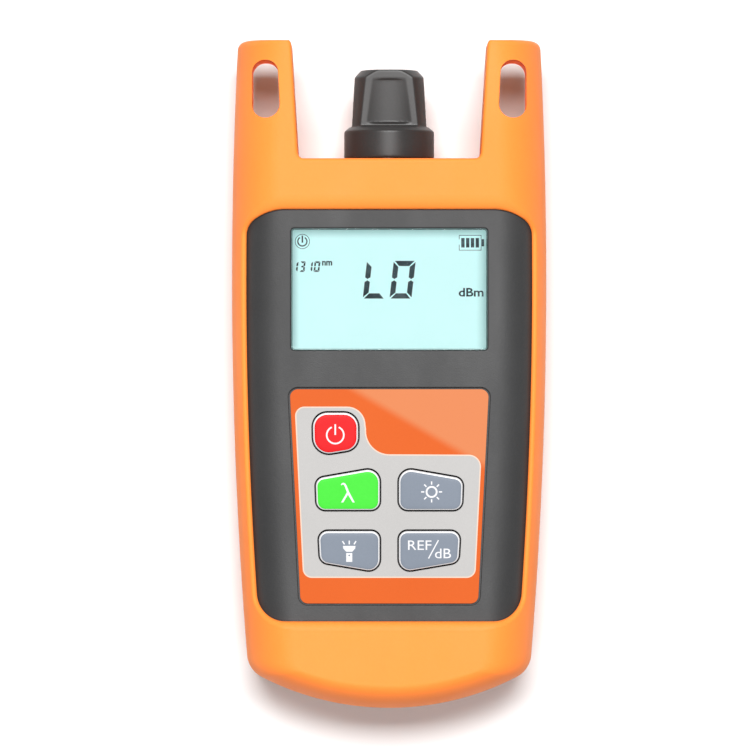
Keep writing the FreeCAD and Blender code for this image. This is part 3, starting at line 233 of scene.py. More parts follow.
def finish(name, clean, deep, low, high, grain=(3500.0, 0.4, 0.00002), drift=60.0, fixed=None):
    """A finish from the shared effects.

    clean and deep are the two tones, low and high the roughness, grain its scale, depth
    and height in metres, and fixed the shader's own constant values.
    """
    material = bpy.data.materials.new(name)
    material.use_nodes = True
    tree = material.node_tree
    shader = tree.nodes["Principled BSDF"]
    place = tree.nodes.new("ShaderNodeTexCoord").outputs["Object"]
    tone = add_node(tree, "ShaderNodeGroup", {"node_tree": COLOUR_DRIFT},
                    {"Vector": place, "Clean": (*clean, 1), "Deep": (*deep, 1), "Scale": drift})
    sheen = add_node(tree, "ShaderNodeGroup", {"node_tree": HANDLING_SHEEN},
                     {"Vector": place, "Low": low, "High": high})
    pebbles = add_node(tree, "ShaderNodeGroup", {"node_tree": MOULD_GRAIN},
                       {"Vector": place, "Scale": grain[0], "Depth": grain[1]})
    bump = add_node(tree, "ShaderNodeBump", values={"Distance": grain[2],
                                                    "Height": pebbles.outputs["Height"]})
    tree.links.new(tone.outputs["Color"], shader.inputs["Base Color"])
    tree.links.new(sheen.outputs["Roughness"], shader.inputs["Roughness"])
    tree.links.new(bump.outputs["Normal"], shader.inputs["Normal"])
    for socket, value in (fixed or {}).items():
        shader.inputs[socket].default_value = value
    return material


def band_mask(tree, place, axis, low, high, full=1.0):
    """0 below low and full above high along an axis of a place, in metres."""
    split = add_node(tree, "ShaderNodeSeparateXYZ", values={0: place})
    ramp = add_node(tree, "ShaderNodeMapRange", {"interpolation_type": "SMOOTHSTEP"}, {
        "Value": split.outputs[axis], "From Min": low, "From Max": high, "To Max": full})
    return ramp.outputs["Result"]


# ---------------------------------------------------------------- finishes

COARSE_GRAIN = (3000.0, 0.9, 0.00003)
KEY_GRAIN = (3200.0, 0.5, 0.000012)
PRINT_GRAIN = (3000.0, 0.4, 0.00001)
FILM_GRAIN = (2500.0, 0.2, 0.000004)
CLEAR_GRAIN = (600.0, 0.2, 0.000004)
SATIN_PRINT = {"Specular IOR Level": 0.1}
METAL = {"Metallic": 1.0}

BOOT_RUBBER = finish("boot_rubber", (0.95, 0.243, 0.042), (0.92, 0.226, 0.036), 0.50, 0.62,
                     (5200.0, 0.5, 0.000012), 35.0,
                     {"Subsurface Weight": 0.06, "Subsurface Radius": (0.9, 0.35, 0.1),
                      "Subsurface Scale": 0.0012, "Specular IOR Level": 0.14})
CASE_PLASTIC = finish("case_plastic", (0.034, 0.034, 0.0345), (0.027, 0.027, 0.0275), 0.48, 0.60,
                      (4200.0, 0.9, 0.00003), fixed={"Specular IOR Level": 0.3})
CASE_BACK_PLASTIC = finish("case_back_plastic", (0.042, 0.042, 0.044), (0.032, 0.032, 0.034),
                           0.48, 0.64, COARSE_GRAIN)
DOOR_PLASTIC = finish("door_plastic", (0.040, 0.040, 0.042), (0.030, 0.030, 0.032), 0.45, 0.62,
                      COARSE_GRAIN)
CAP_PLASTIC = finish("cap_plastic", (0.033, 0.0315, 0.031), (0.025, 0.0235, 0.023), 0.34, 0.44,
                     (2600.0, 0.5, 0.00001), fixed={"Specular IOR Level": 0.25})
# pale colour of the keys' rims: painted highlight of their bevels
KEY_RIM_PAINTED_HIGHLIGHT = finish("key_rim_painted_highlight", (0.56, 0.56, 0.57), (0.50, 0.50, 0.51), 0.30, 0.42, (2500.0, 0.3, 0.000008))
# dark sides of the keys: painted shade in the gap round each key
KEY_SIDE_PAINTED_SHADE = finish("key_side_painted_shade", (0.028, 0.026, 0.028), (0.020, 0.018, 0.020), 0.55, 0.70)
KEY_RED = finish("key_red", (0.54, 0.0065, 0.0090), (0.50, 0.0055, 0.0080), 0.40, 0.52, KEY_GRAIN,
                 fixed=SATIN_PRINT)
KEY_GREEN = finish("key_green", (0.048, 0.53, 0.033), (0.041, 0.49, 0.028), 0.40, 0.52, KEY_GRAIN,
                   fixed=SATIN_PRINT)
KEY_SLATE = finish("key_slate", (0.162, 0.185, 0.224), (0.148, 0.171, 0.208), 0.38, 0.50, KEY_GRAIN,
                   fixed=SATIN_PRINT)
KEY_FINISHES = {"power": KEY_RED, "wavelength": KEY_GREEN}
PRINT_WHITE = finish("print_white", (0.56, 0.56, 0.57), (0.50, 0.50, 0.51), 0.42, 0.52)
LCD_INK = finish("lcd_ink", (0.026, 0.045, 0.052), (0.020, 0.037, 0.043), 0.45, 0.55, FILM_GRAIN,
                 fixed=SATIN_PRINT)
NICKEL = finish("nickel_plate", (0.62, 0.60, 0.56), (0.52, 0.50, 0.46), 0.18, 0.32,
                (1800.0, 0.5, 0.000008), fixed=METAL)
STEEL = finish("zinc_steel", (0.55, 0.56, 0.57), (0.44, 0.45, 0.47), 0.25, 0.42,
               (2200.0, 0.6, 0.00001), fixed=METAL)
SPRING_STEEL = finish("contact_steel", (0.66, 0.66, 0.64), (0.54, 0.54, 0.53), 0.20, 0.34,
                      (1500.0, 0.5, 0.000008), fixed=METAL)
GOLD_CAN = finish("gold_can", (0.80, 0.60, 0.28), (0.66, 0.47, 0.20), 0.22, 0.34,
                  (2000.0, 0.4, 0.000006), fixed=METAL)
CERAMIC = finish("white_ceramic", (0.86, 0.85, 0.82), (0.78, 0.77, 0.73), 0.12, 0.22,
                 (1500.0, 0.2, 0.000004))
BOARD_GREEN = finish("board_green", (0.020, 0.13, 0.050), (0.012, 0.085, 0.032), 0.30, 0.45,
                     (900.0, 0.6, 0.00002))
CHIP_BLACK = finish("chip_black", (0.030, 0.030, 0.032), (0.020, 0.020, 0.022), 0.50, 0.65,
                    (5000.0, 0.8, 0.00001))
CAPACITOR_BLUE = finish("capacitor_sleeve", (0.03, 0.06, 0.16), (0.02, 0.04, 0.11), 0.28, 0.40)
SWITCH_BLACK = finish("switch_black", (0.045, 0.045, 0.045), (0.030, 0.030, 0.030), 0.45, 0.60)
PLUNGER_WHITE = finish("plunger_white", (0.70, 0.70, 0.68), (0.60, 0.60, 0.58), 0.45, 0.55)
SILICONE = finish("contact_silicone", (0.45, 0.45, 0.46), (0.06, 0.06, 0.06), 0.55, 0.70,
                  (1200.0, 0.6, 0.00002), 900.0)
LIGHT_GUIDE = finish("light_guide", (0.82, 0.88, 0.88), (0.74, 0.82, 0.83), 0.35, 0.45)
# near-black ring round the display's edge: painted shadow of the window's recess
PAINTED_SHADOW_RING = finish("painted_shadow_ring", (0.012, 0.014, 0.014), (0.008, 0.009, 0.009), 0.75, 0.88,
                     (6000.0, 0.8, 0.00002))
HOLDER_PLASTIC = finish("holder_plastic", (0.12, 0.12, 0.12), (0.09, 0.09, 0.09), 0.45, 0.60)
DISPLAY_CLEAR = finish("display_clear", (0.985, 0.995, 0.995), (0.97, 0.985, 0.985), 0.02, 0.045,
                       (300.0, 0.05, 0.000001), fixed={"Transmission Weight": 1.0, "IOR": 1.28})
TORCH_CLEAR = finish("torch_clear", (0.98, 0.98, 0.97), (0.95, 0.95, 0.93), 0.04, 0.10,
                     CLEAR_GRAIN, fixed={"Transmission Weight": 1.0, "IOR": 1.46})
LED_EPOXY = finish("led_epoxy", (0.95, 0.93, 0.80), (0.90, 0.86, 0.66), 0.08, 0.16,
                   CLEAR_GRAIN, fixed={"Transmission Weight": 0.6, "IOR": 1.5})


def parts_of(material):
    """The nodes of a finish, its shader and its object coordinates."""
    tree = material.node_tree
    place = next(n for n in tree.nodes if n.type == "TEX_COORD")
    return tree, tree.nodes["Principled BSDF"], place.outputs["Object"]


def tint(material, mask, colour):
    """Turns a finish's colour to another one where mask is 1."""
    tree, shader, _ = parts_of(material)
    tone = shader.inputs["Base Color"].links[0].from_socket
    tree.links.new(blend_node(tree, mask, tone, (*colour, 1)), shader.inputs["Base Color"])


def lcd_glow_with_painted_shade():
    """Back-lit display: pale and even, with painted shade of the frame's recess within about two
    millimetres of the frame.
    """
    material = finish("lcd_glow_with_painted_shade", (0.03, 0.04, 0.04), (0.02, 0.03, 0.03), 0.30, 0.38,
                      FILM_GRAIN, fixed={"Specular IOR Level": 0.15})
    tree, shader, place = parts_of(material)
    light = 1.0
    # painted shade: the glow darkens towards each edge of the frame, standing in for the shadow of its
    # recess
    for axis, edge, width, side in (("X", -DISPLAY_X, 1.7, 1), ("X", DISPLAY_X, 2.3, -1),
                                    ("Y", DISPLAY_LOW, 0.5, 1), ("Y", DISPLAY_HIGH, 2.1, -1)):
        low, high = sorted((edge * MM, (edge + side * width) * MM))
        mask = band_mask(tree, place, axis, low, high)
        if side < 0:
            mask = sum_node(tree, "SUBTRACT", 1.0, mask)
        light = sum_node(tree, "MULTIPLY", light, mask)
    haze = add_node(tree, "ShaderNodeTexNoise", values={"Vector": place, "Scale": 45.0, "Detail": 2.0})
    even = blend_node(tree, haze.outputs["Fac"], (0.63, 0.97, 0.96, 1), (0.61, 0.95, 0.94, 1))
    # the first colour is the painted shade at the edges, the second the even glow
    glow_and_painted_shade = blend_node(tree, light, (0.33, 0.56, 0.55, 1), even)
    tree.links.new(glow_and_painted_shade, shader.inputs["Emission Color"])
    shader.inputs["Emission Strength"].default_value = 1.0
    return material


def orange_print_and_painted_reflection():
    """Printed orange of the key panel, with a paler band across its upper right that is a painted
    reflection.
    """
    material = finish("orange_print_and_painted_reflection", (0.49, 0.079, 0.0052), (0.47, 0.074, 0.0046), 0.38, 0.48,
                      PRINT_GRAIN, fixed=SATIN_PRINT)
    tree, _, place = parts_of(material)
    # painted reflection: a paler orange band across the panel's upper right
    turn = add_node(tree, "ShaderNodeMapping", values={"Vector": place,
                                                       "Rotation": (0.0, 0.0, math.radians(30))})
    mask = band_mask(tree, turn.outputs["Vector"], "Y", -0.0068, -0.0048, 0.85)
    tint(material, mask, (0.49, 0.168, 0.065))
    return material


def cell_jacket():
    """Printed foil jacket of a cell: a copper band at the nub's end over black."""
    material = finish("cell_jacket", (0.035, 0.035, 0.038), (0.022, 0.022, 0.025), 0.24, 0.36,
                      (1400.0, 0.4, 0.000006), fixed={"Coat Weight": 0.4, "Coat Roughness": 0.12})
    tree, _, place = parts_of(material)
    tint(material, band_mask(tree, place, "Y", -0.0062, -0.0058), (0.50, 0.22, 0.08))
    return material


LCD_GLOW_WITH_PAINTED_SHADE = lcd_glow_with_painted_shade()
ORANGE_PRINT_AND_PAINTED_REFLECTION = orange_print_and_painted_reflection()
OVERLAY_GREY = finish("overlay_grey", (0.366, 0.358, 0.350), (0.344, 0.336, 0.329), 0.38, 0.48,
                      PRINT_GRAIN, fixed=SATIN_PRINT)
OVERLAY_LINE = finish("overlay_line", (0.56, 0.44, 0.36), (0.52, 0.41, 0.33), 0.38, 0.48,
                      fixed=SATIN_PRINT)
CELL_JACKET = cell_jacket()


# ---------------------------------------------------------------- outlines

def arc_run(cx, cy, radius, start, stop, count):
    """Points and outward directions on an arc, its last point left out."""
    turns = [start + (stop - start) * i / count for i in range(count)]
    ways = [(math.cos(a), math.sin(a)) for a in turns]
    return [(cx + radius * out_x, cy + radius * out_y, out_x, out_y) for out_x, out_y in ways]


def arc_points(cx, cy, radius, start, stop, steps):
    """Points on an arc given in degrees, both its ends included."""
    turns = [math.radians(start + (stop - start) * i / steps) for i in range(steps + 1)]
    return [(cx + radius * math.cos(a), cy + radius * math.sin(a)) for a in turns]


def mirrored_run(right):
    """Whole outline from its right half, which starts and ends on the middle line."""
    left = [(-p[0], p[1]) + ((-p[2], p[3]) if len(p) > 2 else ()) for p in reversed(right[1:-1])]
    return right + left


def body_outline(side, end, top, end_r, top_r):
    """Plan of the body: two long side arcs, the end arc and a straight top."""
    side_r, arc_r = SIDE_R - side, END_R - end
    end_cy = END_Y + END_R
    dx, dy = -SIDE_X, end_cy - WIDEST_Y
    gap = math.hypot(dx, dy)
    a, b = side_r - end_r, arc_r - end_r
    along = (a * a - b * b + gap * gap) / (2 * gap)
    off = math.sqrt(a * a - along * along)
    ux, uy = dx / gap, dy / gap
    low_x, low_y = SIDE_X + ux * along + uy * off, WIDEST_Y + uy * along - ux * off
    high_y = top - top_r
    high_x = SIDE_X + math.sqrt((side_r - top_r) ** 2 - (high_y - WIDEST_Y) ** 2)
    end_turn = math.atan2(low_y - end_cy, low_x)
    low_turn = math.atan2(low_y - WIDEST_Y, low_x - SIDE_X)
    high_turn = math.atan2(high_y - WIDEST_Y, high_x - SIDE_X)
    right = arc_run(0, end_cy, arc_r, -math.pi / 2, end_turn, 24)
    right += arc_run(low_x, low_y, end_r, end_turn, low_turn, 12)
    right += arc_run(SIDE_X, WIDEST_Y, side_r, low_turn, high_turn, 56)
    right += arc_run(high_x, high_y, top_r, high_turn, math.pi / 2, 10)
    right += [(high_x * (1 - i / 8), top, 0, 1) for i in range(9)]
    return [(p[0], p[1]) for p in mirrored_run(right)]


def rounded(corners, grow=0.0, steps=8):
    """Outline through convex counter-clockwise corners (x, y, radius), grown all round."""
    count = len(corners)
    points = [Vector((c[0], c[1])) for c in corners]
    outs = []
    for i in range(count):
        along = points[(i + 1) % count] - points[i]
        outs.append(Vector((along.y, -along.x)).normalized())
    run = []
    for i in range(count):
        before, after = outs[i - 1], outs[i]
        middle = (before + after).normalized()
        reach = 1.0 / middle.dot(after)
        radius = max(corners[i][2] + grow, 0.001)
        centre = points[i] + middle * (grow * reach) - middle * (radius * reach)
        start = math.atan2(before.y, before.x)
        turn = (math.atan2(after.y, after.x) - start) % (2 * math.pi)
        for step in range(steps + 1):
            angle = start + turn * step / steps
            run.append((centre.x + radius * math.cos(angle), centre.y + radius * math.sin(angle)))
    return run


def key_hole(name):
    """Corners of a key's opening in the panel; the right keys mirror the left ones."""
    shape = KEY_HOLES[MIRRORED.get(name, name)]
    corners = [(x, PANEL_TOP - drop, radius) for x, drop, radius in shape]
    if name in MIRRORED:
        corners = [(-x, y, radius) for x, y, radius in reversed(corners)]
    return corners


def at_height(outline, z):
    """An outline as a ring at a height."""
    return [(p[0], p[1], z) for p in outline]


def quarter(steps):
    """How far a quarter round has drawn in and risen, from none to all."""
    turns = [math.pi / 2 * step / steps for step in range(steps + 1)]
    return [(1 - math.cos(a), math.sin(a)) for a in turns]


# ---------------------------------------------------------------- mesh work

def placed(name, data):
    """An object of the scene that carries data."""
    made = bpy.data.objects.new(name, data)
    bpy.context.scene.collection.objects.link(made)
    return made


def piece(name, points, faces, materials=()):
    """A new piece of the scene, in millimetres until it is set down."""
    mesh = bpy.data.meshes.new(name)
    mesh.from_pydata(points, [], faces)
    for material in materials:
        mesh.materials.append(material)
    return placed(name, mesh)


def loft(name, rings, materials=()):
    """Closed body through counter-clockwise rings of the same count, from the lowest up."""
    n = len(rings[0])
    points = [p for ring in rings for p in ring]
    faces = []
    for r in range(len(rings) - 1):
        for i in range(n):
            j = (i + 1) % n
            faces.append((r * n + i, r * n + j, (r + 1) * n + j, (r + 1) * n + i))
    faces.append(tuple(range(n - 1, -1, -1)))
    faces.append(tuple(range((len(rings) - 1) * n, len(rings) * n)))
    return piece(name, points, faces, materials)


def lathe(name, profile, count, z=SPLIT, x=0.0, materials=()):
    """Closed body turned about an axis along Y from a closed profile of (y, radius)."""
    rings = []
    for i in range(count):
        a = 2 * math.pi * i / count
        rings.append([(x + r * math.cos(a), y, z + r * math.sin(a)) for y, r in profile])
    n = len(profile)
    points = [p for ring in rings for p in ring]
    faces = []
    for r in range(count):
        here, there = r * n, (r + 1) % count * n
        faces += [(here + i, here + (i + 1) % n, there + (i + 1) % n, there + i) for i in range(n)]
    made = piece(name, points, faces, materials)
    clean(made)
    return made


def clean(made, distance=0.0001):
    """Merges doubles, drops what they leave without area, and turns every face outwards."""
    work = bmesh.new()
    work.from_mesh(made.data)
    bmesh.ops.remove_doubles(work, verts=work.verts, dist=distance)
    bmesh.ops.dissolve_degenerate(work, edges=work.edges, dist=distance / 10)
    bmesh.ops.recalc_face_normals(work, faces=work.faces)
    work.to_mesh(made.data)
    work.free()


def settle(made):
    """Makes the modifiers' result the piece's own mesh."""
    graph = bpy.context.evaluated_depsgraph_get()
    mesh = bpy.data.meshes.new_from_object(made.evaluated_get(graph))
    made.modifiers.clear()
    made.data = mesh


def combine(body, tools, operation="DIFFERENCE"):
    """Cuts the tools from a body, or joins them to it, and clears them away."""
    for tool in tools:
        step = body.modifiers.new("shape", "BOOLEAN")
        step.operation = operation
        step.solver = "EXACT"
        step.object = tool
    settle(body)
    for tool in tools:
        bpy.data.objects.remove(tool)


def smooth(made, angle, weighted=True):
    """Smooth shading with crisp edges, and flats that stay flat beside a roll."""
    made.data.shade_smooth()
    made.data.set_sharp_from_angle(angle=math.radians(angle))
    if weighted:
        step = made.modifiers.new("flats", "WEIGHTED_NORMAL")
        step.keep_sharp = True
        step.weight = 80
        settle(made)


def set_down(made, body, slot, *stands_for):
    """Scales a finished piece to metres, hangs it on its body and hides the nodes it stands for."""
    made.data.transform(Matrix.Scale(MM, 4))
    made.data.update()
    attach(made, body)
    if stands_for:
        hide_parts(*stands_for)
    return made


def roll_rings(z_wide, z_narrow, side, end, top, rolls, end_r, top_r, steps):
    """Quarter-ellipse edge roll as rings, from the full outline to the drawn-in one."""
    rings = []
    for share, rise in quarter(steps):
        plan = body_outline(side + rolls[0] * share, end + rolls[1] * share, top - rolls[2] * share,
                            end_r * (1 - 0.6 * share), top_r * (1 - 0.4 * share))
        rings.append(at_height(plan, z_wide + (z_narrow - z_wide) * rise))
    return rings


def flared(name, outline_at, z0, z1, roll, steps=8, low_roll=0.0):
    """Upright cutter through outline_at(grow) that opens out by roll at z1, and at z0."""
    rings = []
    if low_roll:
        rings.append(at_height(outline_at(low_roll), z0 - 2))
        for share, rise in reversed(quarter(steps)):
            rings.append(at_height(outline_at(low_roll * share), z0 + low_roll * (1 - rise)))
    else:
        rings.append(at_height(outline_at(0), z0))
    if roll:
        for share, rise in quarter(steps):
            rings.append(at_height(outline_at(roll * share), z1 - roll + roll * rise))
    rings.append(at_height(outline_at(roll), z1 + 2))
    return loft(name, rings)


def drill(name, y0, y1, radius, x=0.0):
    """Round cutter along Y at the port's height."""
    return lathe(name, [(y0, 0), (y0, radius), (y1, radius), (y1, 0)], x=x, count=64)


def port_and_torch(y0, y1, port_r, torch_r):
    """Cutters for the two holes between the ears."""
    return [drill("port_hole", y0, y1, port_r), drill("torch_hole", y0, y1, torch_r, TORCH_X)]


# ---------------------------------------------------------------- boot

def notch_outline(grow):
    """The space between the ears, with the ears' rounded inner tips."""
    lean = (NOTCH_TIP_HALF - NOTCH_HALF) / (TIP_Y - NOTCH_Y)
    corner = NOTCH_CORNER_R + grow
    floor_x = NOTCH_HALF + grow
    low = NOTCH_Y - grow
    right = [(0, low), (8, low)]
    right += [p[:2] for p in arc_run(floor_x - corner, low + corner, corner, -math.pi / 2, 0, 8)]
    tip_low = TIP_Y - EAR_INNER_R
    for i in range(6):
        y = NOTCH_Y - grow + corner + (tip_low - NOTCH_Y + grow - corner) * i / 6
        right.append((floor_x + lean * (y - NOTCH_Y), y))
    tip, tip_r = NOTCH_HALF + lean * (tip_low - NOTCH_Y) + EAR_INNER_R, EAR_INNER_R - grow
    for i in range(9):
        a = math.pi - math.pi / 2 * i / 8
        right.append((tip + tip_r * math.cos(a), tip_low + tip_r * math.sin(a)))
    right += [(tip, TIP_Y + 3), (0, TIP_Y + 3)]
    return mirrored_run(right)


def slot_outline(side, grow):
    """Lanyard slot: straight outside, leaning inside with the ear."""
    low, high = SLOT_MIDDLE - SLOT_HALF_L, SLOT_MIDDLE + SLOT_HALF_L
    wide_r, narrow_r = SLOT_WIDE * SLOT_ROUND, SLOT_NARROW * SLOT_ROUND
    corners = [(SLOT_OUTER - SLOT_WIDE, low, wide_r), (SLOT_OUTER, low, wide_r),
               (SLOT_OUTER, high, narrow_r), (SLOT_OUTER - SLOT_NARROW, high, narrow_r)]
    if side < 0:
        corners = [(-x, y, r) for x, y, r in reversed(corners)]
    return rounded(corners, grow, 12)


def side_x(y, radius):
    """Where an arc about the side's centre crosses a height in the plan."""
    return SIDE_X + math.sqrt(radius ** 2 - (y - WIDEST_Y) ** 2)


def window_run():
    """Face window outline with outward directions."""
    radius = SIDE_R - WINDOW_INSET
    between = WINDOW_WIDE_R - WINDOW_TIGHT_R
    tight_y = WINDOW_TOP - WINDOW_WIDE_R + between * math.cos(WINDOW_TURN)
    tight_x = side_x(tight_y, radius - WINDOW_TIGHT_R)
    wide_x = tight_x - between * math.sin(WINDOW_TURN)
    low_y = WINDOW_END + WINDOW_END_R
    low_x = side_x(low_y, radius - WINDOW_END_R)
    low_turn = math.atan2(low_y - WIDEST_Y, low_x - SIDE_X)
    high_turn = math.atan2(tight_y - WIDEST_Y, tight_x - SIDE_X)
    meet = math.pi / 2 - WINDOW_TURN
    right = [(low_x * i / 10, WINDOW_END, 0, -1) for i in range(10)]
    right += arc_run(low_x, low_y, WINDOW_END_R, -math.pi / 2, low_turn, 20)
    right += arc_run(SIDE_X, WIDEST_Y, radius, low_turn, high_turn, 60)
    right += arc_run(tight_x, tight_y, WINDOW_TIGHT_R, high_turn, meet, 14)
    right += arc_run(wide_x, WINDOW_TOP - WINDOW_WIDE_R, WINDOW_WIDE_R, meet, math.pi / 2, 16)
    right += [(wide_x * (1 - i / 10), WINDOW_TOP, 0, 1) for i in range(11)]
    return mirrored_run(right)


def front_height(x, y):
    """Height of the boot's rolled front over a place in its plan."""
    share = min((SIDE_R - math.hypot(abs(x) - SIDE_X, y - WIDEST_Y)) / BOOT_ROLL_IN[0], 1.0)
    return THICK - BOOT_ROLL_H + BOOT_ROLL_H * math.sqrt(max(1 - (1 - share) ** 2, 0))


def ease(value, low, high):
    """Soft step from 0 at low to 1 at high."""
    t = min(max((value - low) / (high - low), 0.0), 1.0)
    return t * t * (3 - 2 * t)


def window_cutter():
    """Cuts the face window and rounds its lip to meet the boot's surface all the way round."""
    steps, ahead_by = 12, 0.02
    rings = [[] for _ in range(steps + 3)]
    for x, y, nx, ny in window_run():
        aside = SIDE_R - math.hypot(abs(x) - SIDE_X, y - WIDEST_Y)
        share = ease(aside, LIP_FROM, LIP_FULL)
        out = LIP + ((LIP_OUT_TOP if ny > 0 else LIP_OUT_END) - LIP) * share
        down = LIP + (LIP_DOWN - LIP) * share
        slope = 0.0
        for _ in range(3):
            turn = math.pi / 2 + math.atan(slope * out / down)
            reach = out * (1 - math.cos(turn))
            here = front_height(x + nx * reach, y + ny * reach)
            ahead = front_height(x + nx * (reach + ahead_by), y + ny * (reach + ahead_by))
            slope = (here - ahead) / ahead_by
        base = here - down * math.sin(turn)
        rings[0].append((x, y, SPLIT))
        for step in range(steps + 1):
            a = turn * step / steps
            d = out * (1 - math.cos(a))
            rings[step + 1].append((x + nx * d, y + ny * d, base + down * math.sin(a)))
        rings[steps + 2].append((x + nx * reach, y + ny * reach, THICK + 3))
    return loft("window_cutter", rings)


def back_window(grow):
    """Opening of the boot's back, over the battery door."""
    low, top = END_Y + 9.5, CASE_TOP - 8.3
    low_x, top_x = side_x(low, SIDE_R - 8.4), side_x(top, SIDE_R - 8.4)
    return rounded([(-low_x, low, 4), (low_x, low, 4), (top_x, top, 4), (-top_x, top, 4)], grow, 10)


def case_rings(grow, from_z=None):
    """Rings of the case grown all round, from its back, or from from_z, up to its face."""
    side, end, top = CASE_SIDE - grow, CASE_END - grow, CASE_TOP + grow
    end_r, top_r = CASE_END_R + grow, max(CASE_TOP_R + grow, 0.05)
    if from_z is None:
        back, low = CASE_BACK_ROLL + grow, CASE_BACK - grow
        rings = roll_rings(low + back, low, side, end, top, (back,) * 3, end_r, top_r, 6)[::-1]
    else:
        rings = [at_height(body_outline(side, end, top, end_r, top_r), from_z)]
    rolls = [max(roll + grow, 0) for roll in CASE_ROLL_IN]
    return rings + roll_rings(CASE_FACE - CASE_ROLL_H, CASE_FACE + grow, side, end, top, rolls,
                              end_r, top_r, 26)


def make_boot():
    """One-piece rubber boot: its back, the rolled front with the ears, and all its openings."""
    lower = roll_rings(BACK_ROLL, 0.0, BACK_INSET, BACK_INSET, NOTCH_Y, (BACK_ROLL,) * 3,
                       BOOT_END_R, BACK_TOP_R, 14)[::-1]
    join = body_outline(BACK_INSET, BACK_INSET, NOTCH_Y, BOOT_END_R, BACK_TOP_R)
    lower.append(at_height(join, BACK_JOIN_Z))
    upper = roll_rings(EAR_BACK + EAR_BACK_ROLL, EAR_BACK, 0, 0, TIP_Y, (EAR_BACK_ROLL,) * 3,
                       BOOT_END_R, EAR_TIP_R, 6)[::-1]
    upper += roll_rings(THICK - BOOT_ROLL_H, THICK, 0, 0, TIP_Y, BOOT_ROLL_IN, BOOT_END_R, EAR_TIP_R, 30)
    boot = loft("boot_skin", lower, [BOOT_RUBBER])
    combine(boot, [loft("boot_front", upper)], "UNION")
    tools = [flared("notch", notch_outline, -1, THICK, NOTCH_LIP),
             loft("pocket", case_rings(BOOT_FIT)),
             window_cutter(),
             flared("back_window", back_window, 0, SPLIT - 2.5, 0, low_roll=BACK_LIP)]
    tools += port_and_torch(35.8, NOTCH_Y + 1, 5.4, 2.9)
    for side in (-1, 1):
        tools.append(flared("slot", lambda grow, s=side: slot_outline(s, grow), EAR_BACK, THICK, SLOT_LIP,
                            5, low_roll=SLOT_LIP))
    combine(boot, tools)
    clean(boot, 0.002)
    smooth(boot, 32)
    set_down(boot, "meter", "boot", "protective_boot")


# ---------------------------------------------------------------- case face

def make_case():
    """Dark front of the case: hollow behind, with the display's hole, the panel's recess and its holes."""
    case = loft("case_face", case_rings(0, SPLIT), [CASE_PLASTIC])
    side, end, top, end_r, top_r = 4.6, 6.2, 35.8, 2.3, 0.8
    inner = [at_height(body_outline(side, end, top, end_r, top_r), SPLIT - 1)]
    inner += roll_rings(FRONT_INSIDE - 3.8, FRONT_INSIDE, side, end, top, (5.0, 1.8, 0.05), end_r, top_r, 8)
    tools = [loft("hollow", inner),
             flared("display_hole", lambda grow: rounded(DISPLAY, grow), 20, CASE_FACE, 0.3, 5),
             flared("panel_recess", lambda grow: rounded(PANEL, grow + PANEL_SEAM), PANEL_BACK,
                    CASE_FACE, 0.15, 4)]
    tools += port_and_torch(35, 39, 5.1, 2.6)
    for name in KEY_NAMES:
        tools.append(loft("key_hole", [at_height(rounded(key_hole(name)), z) for z in (20, 24.9)]))
    combine(case, tools)
    clean(case, 0.002)
    smooth(case, 32)
    set_down(case, "meter", "case", "front_case")


# ---------------------------------------------------------------- display

def make_lens():
    """Clear window: a flange behind the face and a proud pane with a polished edge."""
    fit, edge, edge_z = 0.08, 0.07, 24.63
    flange = [at_height(rounded(DISPLAY, 0.9), z) for z in (LCD_FACE + 0.1, FRONT_INSIDE)]
    pane = [at_height(rounded(DISPLAY, -fit), FRONT_INSIDE)]
    for share, rise in quarter(5):
        pane.append(at_height(rounded(DISPLAY, -fit - edge * share), edge_z + edge * rise))
    lens = loft("display_window", flange + pane, [DISPLAY_CLEAR])
    smooth(lens, 40)
    set_down(lens, "meter", "lens", "display_lens")
    # a near-black ring on the display just inside the frame, standing in for the shadow of the recess
    painted_shadow = flat_shape("display_painted_shadow", [rounded(DISPLAY, 0.6), rounded(DISPLAY, -0.2)],
                        LCD_FACE + 0.05, 0.08, PAINTED_SHADOW_RING)
    set_down(painted_shadow, "meter", "zebra")


def flat_shape(name, loops, z, thick, material):
    """Thin flat piece from closed loops; a loop inside another is a hole in it."""
    curve = bpy.data.curves.new(name, "CURVE")
    curve.dimensions = "2D"
    curve.fill_mode = "BOTH"
    curve.extrude = thick / 2
    for loop in loops:
        spline = curve.splines.new("POLY")
        spline.points.add(len(loop) - 1)
        for point, (x, y) in zip(spline.points, loop):
            point.co = (x, y, 0, 1)
        spline.use_cyclic_u = True
    return from_curve(name, curve, z, material)


def from_curve(name, curve, z, material):
    """Piece from a filled curve."""
    holder = placed(name + "_curve", curve)
    graph = bpy.context.evaluated_depsgraph_get()
    mesh = bpy.data.meshes.new_from_object(holder.evaluated_get(graph))
    bpy.data.objects.remove(holder)
    mesh.transform(Matrix.Translation((0, 0, z)))
    mesh.materials.clear()
    mesh.materials.append(material)
    made = placed(name, mesh)
    clean(made, 0.00005)
    return made


def lettering(name, text, x0, x1, y0, y1, z, thick, material, heavy=0.0):
    """Lettering fitted to a box in the plan."""
    curve = bpy.data.curves.new(name, "FONT")
    curve.body = text
    curve.size = 1.0
    curve.extrude = thick / 2
    curve.offset = heavy
    curve.resolution_u = 4
    made = from_curve(name, curve, 0, material)
    xs = [v.co.x for v in made.data.vertices]
    ys = [v.co.y for v in made.data.vertices]
    sx = (x1 - x0) / (max(xs) - min(xs))
    sy = (y1 - y0) / (max(ys) - min(ys))
    for v in made.data.vertices:
        v.co.x = x0 + (v.co.x - min(xs)) * sx
        v.co.y = y0 + (v.co.y - min(ys)) * sy
        v.co.z += z
    return made


